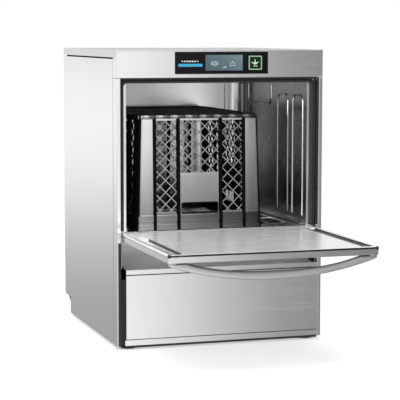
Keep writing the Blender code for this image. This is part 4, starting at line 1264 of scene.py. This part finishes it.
def crate_ribs():
    """Upright ribs between the bays, each with a gusset foot above the rim bands."""
    shape = bmesh.new()
    for place, layout, _ in WALLS:
        for s0, s1 in layout.ribs:
            mid, half = (s0 + s1) / 2, (s1 - s0) / 2
            loops = []
            for h in (0.0006, 0.0430, 0.0500, 0.1600, 0.3095):
                proud = 0.0044 if h < 0.046 else 0.0030
                section = ((-half, -0.0045), (half, -0.0045), (half, proud - 0.0012),
                           (half - 0.0014, proud), (-half + 0.0014, proud),
                           (-half, proud - 0.0012))
                loops.append([place(mid + s, h, d) for s, d in section])
            loft(shape, loops)
            loft(shape, [[place(mid + s, h, d) for s, d in
                          rectangle(-half * 0.55, half * 0.55, -0.002, proud)]
                         for h, proud in ((0.0445, 0.0052), (0.0520, 0.0046), (0.0640, 0.0030))])
    put_crate("crate_ribs", shape, RIB, bevel=0.0003, segments=1)


def band(shape, profile):
    """Carries a closed (d, h) profile round the crate's plan."""
    loops = []
    for d, h in profile:
        x, y = HALF_WIDTH - draft(h) + d, HALF_DEPTH - draft(h) + d
        plan = rounded(MID_X - x, MID_X + x, MID_Y - y, MID_Y + y, CORNER_RADIUS + d, 6)
        loops.append([Vector((x, y, RIM_Z + h)) for x, y in plan])
    loft(shape, loops, wrap=True)


# (d, h) of the two rim bands with the recess between them, and of the lid's core
RIM_BANDS = (
    [(-0.0045, 0.0002), (0.0018, 0.0002), (0.0028, 0.0010), (0.0030, 0.0160),
     (0.0024, 0.0176), (-0.0002, 0.0180), (-0.0045, 0.0180)],
    [(-0.0045, 0.0170), (0.0002, 0.0170), (0.0002, 0.0250), (-0.0045, 0.0250)],
    [(-0.0045, 0.0236), (0.0020, 0.0236), (0.0029, 0.0244), (0.0030, 0.0410),
     (0.0016, 0.0440), (-0.0045, 0.0444)])
LID_CORE = [(-0.0100, 0.3062), (-0.0006, 0.3062), (-0.0002, 0.3070), (-0.0004, 0.3168),
            (-0.0020, 0.3184), (-0.0082, 0.3184), (-0.0100, 0.3168)]


def rim_bands():
    shape = bmesh.new()
    for profile in RIM_BANDS:
        band(shape, profile)
    put_crate("crate_rim_bands", shape, [CRATE, BAND_SHEEN], bevel=0.0004, second=faces_front_or_back)


def crate_lid():
    """The top plate with a shallow raised grid, and the core ring round it."""
    half_x, half_y = HALF_WIDTH - draft(0.312), HALF_DEPTH - draft(0.312)
    grid_x, grid_y, half_bar = half_x - 0.020, half_y - 0.020, 0.0016
    levels = [(RIM_Z + h, inset) for h, inset in (
        (0.3070, 0.0040), (0.3078, 0.0030), (0.3150, 0.0030), (0.3160, 0.0050),
        (0.3162, 0.0120))]
    shape = bmesh.new()
    rounded_stack(shape, (MID_X - half_x, MID_X + half_x), (MID_Y - half_y, MID_Y + half_y),
                  0.0100, levels, 5)
    for x in np.linspace(-0.112, 0.112, 4):
        bar = rounded(MID_X + x - half_bar, MID_X + x + half_bar,
                      MID_Y - grid_y, MID_Y + grid_y, 0.0012, 3)
        prism(shape, bar, along_z, RIM_Z + 0.3155, RIM_Z + 0.3172)
    for y in np.linspace(-0.188, 0.188, 5):
        bar = rounded(MID_X - grid_x, MID_X + grid_x,
                      MID_Y + y - half_bar, MID_Y + y + half_bar, 0.0012, 3)
        prism(shape, bar, along_z, RIM_Z + 0.3153, RIM_Z + 0.3170)
    put_crate("crate_lid", shape, LID, bevel=0.0003, segments=1)
    shape = bmesh.new()
    band(shape, LID_CORE)
    put_crate("crate_lid_core", shape, CRATE, angle=50)


def lip_segment(shape, place, s0, s1):
    """One block of the stacking lip, its ends slightly smaller."""
    loops = []
    for s, e in ((s0, 0.0010), (s0 + 0.0016, 0.0), (s1 - 0.0016, 0.0), (s1, 0.0010)):
        section = ((-0.0070 + e, 0.3090), (0.0006 - e, 0.3090), (0.0016 - e, 0.3104 + e),
                   (0.0017 - e, 0.3160 - e), (0.0006 - e, 0.3188 - e), (-0.0014, 0.3197 - e),
                   (-0.0060 + e, 0.3197 - e), (-0.0070 + e, 0.3188 - e))
        loops.append([place(s, h, d) for d, h in section])
    loft(shape, loops)


def stacking_lip():
    shape = bmesh.new()
    for place, layout, _ in WALLS:
        half = layout.half_length - draft(0.316) - 0.0050
        pitch = 2 * half / layout.lip_count
        for k in range(layout.lip_count):
            start = -half + k * pitch
            lip_segment(shape, place, start + 0.0010, start + pitch - 0.0010)
    # the lip's faces towards front and back take a dimmer painted sheen
    put_crate("crate_stacking_lip", shape, [CRATE, LIP_SHEEN], angle=50,
              second=lambda face: abs(face.normal.y) > 0.6
              and abs(face.center.y - MID_Y) > HALF_DEPTH - 0.020)


crate_lattice()
crate_plates()
hand_hole_lips()
corner_columns()
crate_ribs()
rim_bands()
crate_lid()
stacking_lip()
# parts kept out of shadows and bounced light, some of them out of reflections as well
for name in ("crate_lid", "crate_lattice", "crate_plates", "crate_lid_core",
             "crate_stacking_lip", "crate_ribs"):
    bpy.data.objects[name].visible_shadow = False
    bpy.data.objects[name].visible_diffuse = False
for name in ("crate_lid", "crate_lattice", "crate_plates"):
    bpy.data.objects[name].visible_glossy = False

# ================================================================ feet
# (radius, z) of the ribbed pad and of the threaded stud above it
PAD = [(0, -0.0090), (0.0195, -0.0090), (0.0208, -0.0086), (0.0215, -0.0076), (0.0210, -0.0066),
       (0.0216, -0.0058), (0.0211, -0.0049), (0.0216, -0.0040), (0.0210, -0.0030),
       (0.0196, -0.0019), (0.0176, -0.0012), (0, -0.0012)]
THREAD_PITCH, THREAD_TURNS = 0.0012, 30
STUD = [(0, -0.0014), (0.0049, -0.0014)]
for k in range(THREAD_TURNS):
    crest_z = -0.0010 + THREAD_PITCH * k
    STUD += [(0.0049, crest_z), (0.0044, crest_z + THREAD_PITCH / 2)]
STUD += [(0.0044, 0.0352), (0.0036, 0.0360), (0, 0.0360)]
for node in ("foot_front_left", "foot_front_right", "foot_rear_left", "foot_rear_right"):
    lo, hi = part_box(node)
    foot_x, foot_y = (lo.x + hi.x) / 2, (lo.y + hi.y) / 2
    shape = bmesh.new()
    lathe(shape, PAD, along_z, foot_x, foot_y, 40)
    put(node + "_pad", shape, FOOT, "foot_rubber", node, (node,), angle=50)
    shape = bmesh.new()
    lathe(shape, STUD, along_z, foot_x, foot_y, 20)
    put(node + "_stud", shape, ZINC, "zinc_plate", node, angle=25)

# ================================================================ machinery
# node, material, slot, bevel width, bevel segments, sharp angle
for entry in (
        ("wash_pump_volute", GREY, "grey_plastic", 0.0006, 2, 28),
        ("wash_pump_motor", CAST, "cast_motor", 0.0006, 2, 28),
        ("suction_hose", HOSE, "grey_hose", 0.0, 2, 50),
        ("pressure_hose", HOSE, "grey_hose", 0.0, 2, 50),
        ("drain_hose", HOSE, "grey_hose", 0.0, 2, 50),
        ("inlet_hose", HOSE, "grey_hose", 0.0, 2, 50),
        ("wash_feed_pipe", DEEP, "satin_stainless", 0.0, 2, 50),
        ("rinse_boiler", DEEP, "satin_stainless", 0.0, 2, 50),
        ("drain_pump", GREY, "grey_plastic", 0.0005, 2, 28),
        ("inlet_valve", WHITE, "white_plastic", 0.0015, 3, 28),
        ("detergent_dosing_pump", WHITE, "white_plastic", 0.0015, 3, 28),
        ("rinse_aid_dosing_pump", WHITE, "white_plastic", 0.0015, 3, 28),
        ("power_module", GREY, "grey_plastic", 0.0015, 3, 28),
        ("power_cable", SEAL, "black_rubber", 0.0, 2, 50)):
    refine(*entry)

# ribs round the motor, whose axis lies along x at this y and z
shape = bmesh.new()
for k in range(10):
    x = -0.1660 + 0.0092 * k
    lathe(shape, [(0.0516, x), (0.0545, x + 0.0004), (0.0545, x + 0.0022), (0.0516, x + 0.0026)],
          along_x, -0.020, 0.085, 36)
put("motor_cooling_ribs", shape, CAST, "cast_motor")

# ================================================================ rear of the casing
REAR_Y = 0.3212                          # outer face of the rear panel
HOSE_OUTLETS = ((0.190, 0.030, 0.0120), (-0.190, 0.030, 0.0100))       # x, z, grommet radius


def rear_louvres():
    """Two columns of seven quarter-round louvres."""
    shape = bmesh.new()
    for row in range(7):
        z = 0.620 - 0.022 * row
        outline = [(REAR_Y - 0.0010, z + 0.0065)]
        for i in range(9):
            outline.append((REAR_Y - 0.0008 + 0.0022 * math.sin(math.pi / 2 * i / 8),
                            z + 0.0065 - 0.0065 * i / 8))
        outline.append((REAR_Y - 0.0010, z))
        for side in (-1, 1):
            prism(shape, outline, along_x, *sorted((side * 0.060, side * 0.150)))
    put("rear_louvres", shape, SHEET_Z, "brushed_stainless", bevel=0.0003)


def screw(shape, x, z):
    """A pan-head screw with a star recess, standing on the rear panel."""
    radius, height, steps = 0.0042, 0.0016, 18
    star = [0.46 if k % 3 else 0.34 for k in range(steps)]
    # share of the radius at each point of the loop, share of the height
    levels = [([share] * steps, rise) for share, rise in
              ((1.0, 0.0), (1.0, 0.35), (0.86, 0.75), (0.62, 1.0))]
    levels += [(star, 1.0), ([share * 0.8 for share in star], 0.35)]
    loft(shape, [[Vector((x + radius * share * u, REAR_Y + height * rise, z + radius * share * v))
                  for share, (u, v) in zip(shares, circle(0, 0, 1, steps))]
                 for shares, rise in levels])


def rear_screws():
    shape = bmesh.new()
    for x in (-0.281, 0.281):
        for z in (0.070, 0.230, 0.420, 0.610, 0.775):
            screw(shape, x, z)
    for x in (-0.180, -0.060, 0.060, 0.180):
        screw(shape, x, 0.775)
    put("rear_screws", shape, ZINC, "zinc_plate", angle=40)


def rear_grommets():
    # added radius, y
    profile = ((-0.0014, 0.2476), (0.0035, 0.2476), (0.0045, 0.2484), (0.0045, 0.2490),
               (-0.0002, 0.2490), (-0.0002, 0.2502), (0.0045, 0.2502), (0.0050, 0.2512),
               (0.0036, 0.2526), (-0.0014, 0.2526))
    shape = bmesh.new()
    for x, z, radius in HOSE_OUTLETS:
        lathe(shape, [(radius + extra, y) for extra, y in profile], along_y, x, z, 28)
    put("rear_grommets", shape, SEAL, "black_rubber")


def cable_gland():
    """A six-sided gland, (radius, y)."""
    profile = [(0.0056, 0.2505), (0.0105, 0.2505), (0.0105, 0.2555), (0.0085, 0.2570),
               (0.0085, 0.2620), (0.0070, 0.2660), (0.0056, 0.2660)]
    shape = bmesh.new()
    lathe(shape, profile, along_y, -0.100, 0.028, 6)
    put("cable_gland", shape, GREY, "grey_plastic", bevel=0.0004)


def hose_clips():
    """A band round each hose with a small block on top."""
    start = 0.3000
    # added radius, y from the start of the clip
    profile = ((-0.0004, 0.0), (0.0012, 0.0), (0.0016, 0.0008), (0.0016, 0.0072),
               (0.0012, 0.0080), (-0.0004, 0.0080))
    shape = bmesh.new()
    for x, z, grommet_radius in HOSE_OUTLETS:
        radius = grommet_radius - 0.0020
        lathe(shape, [(radius + extra, start + y) for extra, y in profile], along_y, x, z, 28)
        prism(shape, rectangle(x - 0.0035, x + 0.0035, start + 0.0005, start + 0.0075),
              along_z, z + radius + 0.0010, z + radius + 0.0050)
    put("hose_clips", shape, ZINC, "zinc_plate", bevel=0.0003)


def base_pan_ribs():
    """Three flattened round ribs along the underside."""
    radius, flattening = 0.0026, 0.28
    shape = bmesh.new()
    for x in (-0.10, 0.0, 0.10):
        loft(shape, [[Vector((x - u, y, 0.0006 + flattening * v))
                      for u, v in circle(0, 0, radius, 10)] for y in (-0.125, 0.0, 0.125)])
    put("base_pan_ribs", shape, SHEET_X, "brushed_stainless")


rear_louvres()
rear_screws()
rear_grommets()
cable_gland()
hose_clips()
base_pan_ribs()


# ================================================================ floor, world, lamps, camera
def floor_material():
    """Pale floor that fades to plain white away from the machine."""
    look = Surface("pale_floor")
    clouds = look.noise(scale=3.0, detail=5.0)
    look.set(Base_Color=look.mix(look.span(clouds, 0.3, 0.7), grey(0.86), grey(0.88)),
             Roughness=0.9, Specular_IOR_Level=0.1, Emission_Color=grey(1.0),
             Emission_Strength=0.34)
    x, y, _ = look.split(look.coords())
    distance = look.math("SQRT", look.math("ADD", look.math("MULTIPLY", x, x),
                                           look.math("MULTIPLY", y, y)))
    white = look.node("Emission", Color=grey(1.0), Strength=1.0)
    blend = look.node("MixShader", i0=look.span(distance, 0.9, 2.6),
                      i1=look.bsdf.outputs[0], i2=white.outputs[0])
    look.plug(look.output.inputs[0], blend.outputs[0])
    return look.material


def build_floor():
    half = 14
    shape = bmesh.new()
    shape.faces.new([shape.verts.new((x, y, cad_lo.z))
                     for x, y in rectangle(-half, half, -half, half)])
    mesh = bpy.data.meshes.new("floor")
    shape.to_mesh(mesh)
    shape.free()
    floor = bpy.data.objects.new("floor", mesh)
    SCENE.collection.objects.link(floor)
    mesh.materials.append(floor_material())
    floor.visible_glossy = False


def build_world():
    """A studio to light and mirror; the camera itself sees plain white."""
    world = bpy.data.worlds.new("studio")
    SCENE.world = world
    look = Nodes(world)
    x, y, z = look.split(look.node("TexCoord").outputs["Generated"])
    # azimuth is 0 straight ahead of the front, positive towards +x
    azimuth = look.math("ARCTAN2", x, look.math("MULTIPLY", y, -1.0))
    elevation = look.math("ARCSINE", z)
    front = look.ramp(look.span(azimuth, math.radians(-60), math.radians(90)), [
        (0.0, 0.56), (0.30, 0.66), (0.455, 1.0), (0.496, 1.0), (0.507, 0.84), (0.535, 0.20),
        (0.75, 0.10), (1.0, 0.30)])
    back = look.ramp(look.span(elevation, math.radians(-14), math.radians(0)), [
        (0.0, 0.36), (0.33, 0.40), (0.47, 0.58), (0.60, 0.86), (0.74, 1.0), (0.88, 0.97),
        (1.0, 0.76)])
    sky = look.span(elevation, math.radians(8), math.radians(50))
    in_front = look.span(y, 0.15, -0.25)
    back = look.mix(1.0, back, grey(1.02), "MULTIPLY")
    front = look.mix(1.0, front, grey(1.12), "MULTIPLY")
    light = look.mix(in_front, back, front)
    light = look.mix(sky, light, (0.75, 0.75, 0.76))
    seen = look.mix(look.node("LightPath").outputs["Is Camera Ray"], light, grey(1.0))
    background = look.node("Background", Color=seen, Strength=1.0)
    look.node("OutputWorld", i0=background.outputs[0])


def lamp(name, at, aim, width, height, power):
    light = bpy.data.lights.new(name, "AREA")
    light.shape = "RECTANGLE"
    light.size = width
    light.size_y = height
    light.energy = power
    made = bpy.data.objects.new(name, light)
    made.location = at
    made.rotation_mode = "QUATERNION"
    made.rotation_quaternion = (Vector(aim) - Vector(at)).to_track_quat("-Z", "Y")
    SCENE.collection.objects.link(made)


def build_camera():
    lens = bpy.data.cameras.new("camera")
    lens.lens = 141.86
    lens.sensor_width = 36.0
    lens.clip_start = 0.05
    lens.clip_end = 100
    camera = bpy.data.objects.new("camera", lens)
    camera.location = (-1.3837, -4.4600, 0.8588)
    pitch, roll, yaw = 90 - 6.021, -0.106, -17.692
    camera.rotation_euler = [math.radians(angle) for angle in (pitch, roll, yaw)]
    SCENE.collection.objects.link(camera)
    SCENE.camera = camera


build_floor()
build_world()
lamp("overhead_softbox", at=(-0.4, -1.0, 3.2), aim=(0, -0.2, 0.3), width=2.6, height=2.2, power=60)
lamp("left_softbox", at=(-3.2, -2.2, 1.8), aim=(0, 0, 0.4), width=1.8, height=2.4, power=45)
lamp("front_fill", at=(0.4, -4.5, 2.4), aim=(0, -0.3, 0.4), width=2.0, height=1.4, power=30)
build_camera()
SCENE.view_settings.view_transform = "Standard"
SCENE.view_settings.look = "None"

bpy.context.view_layer.update()
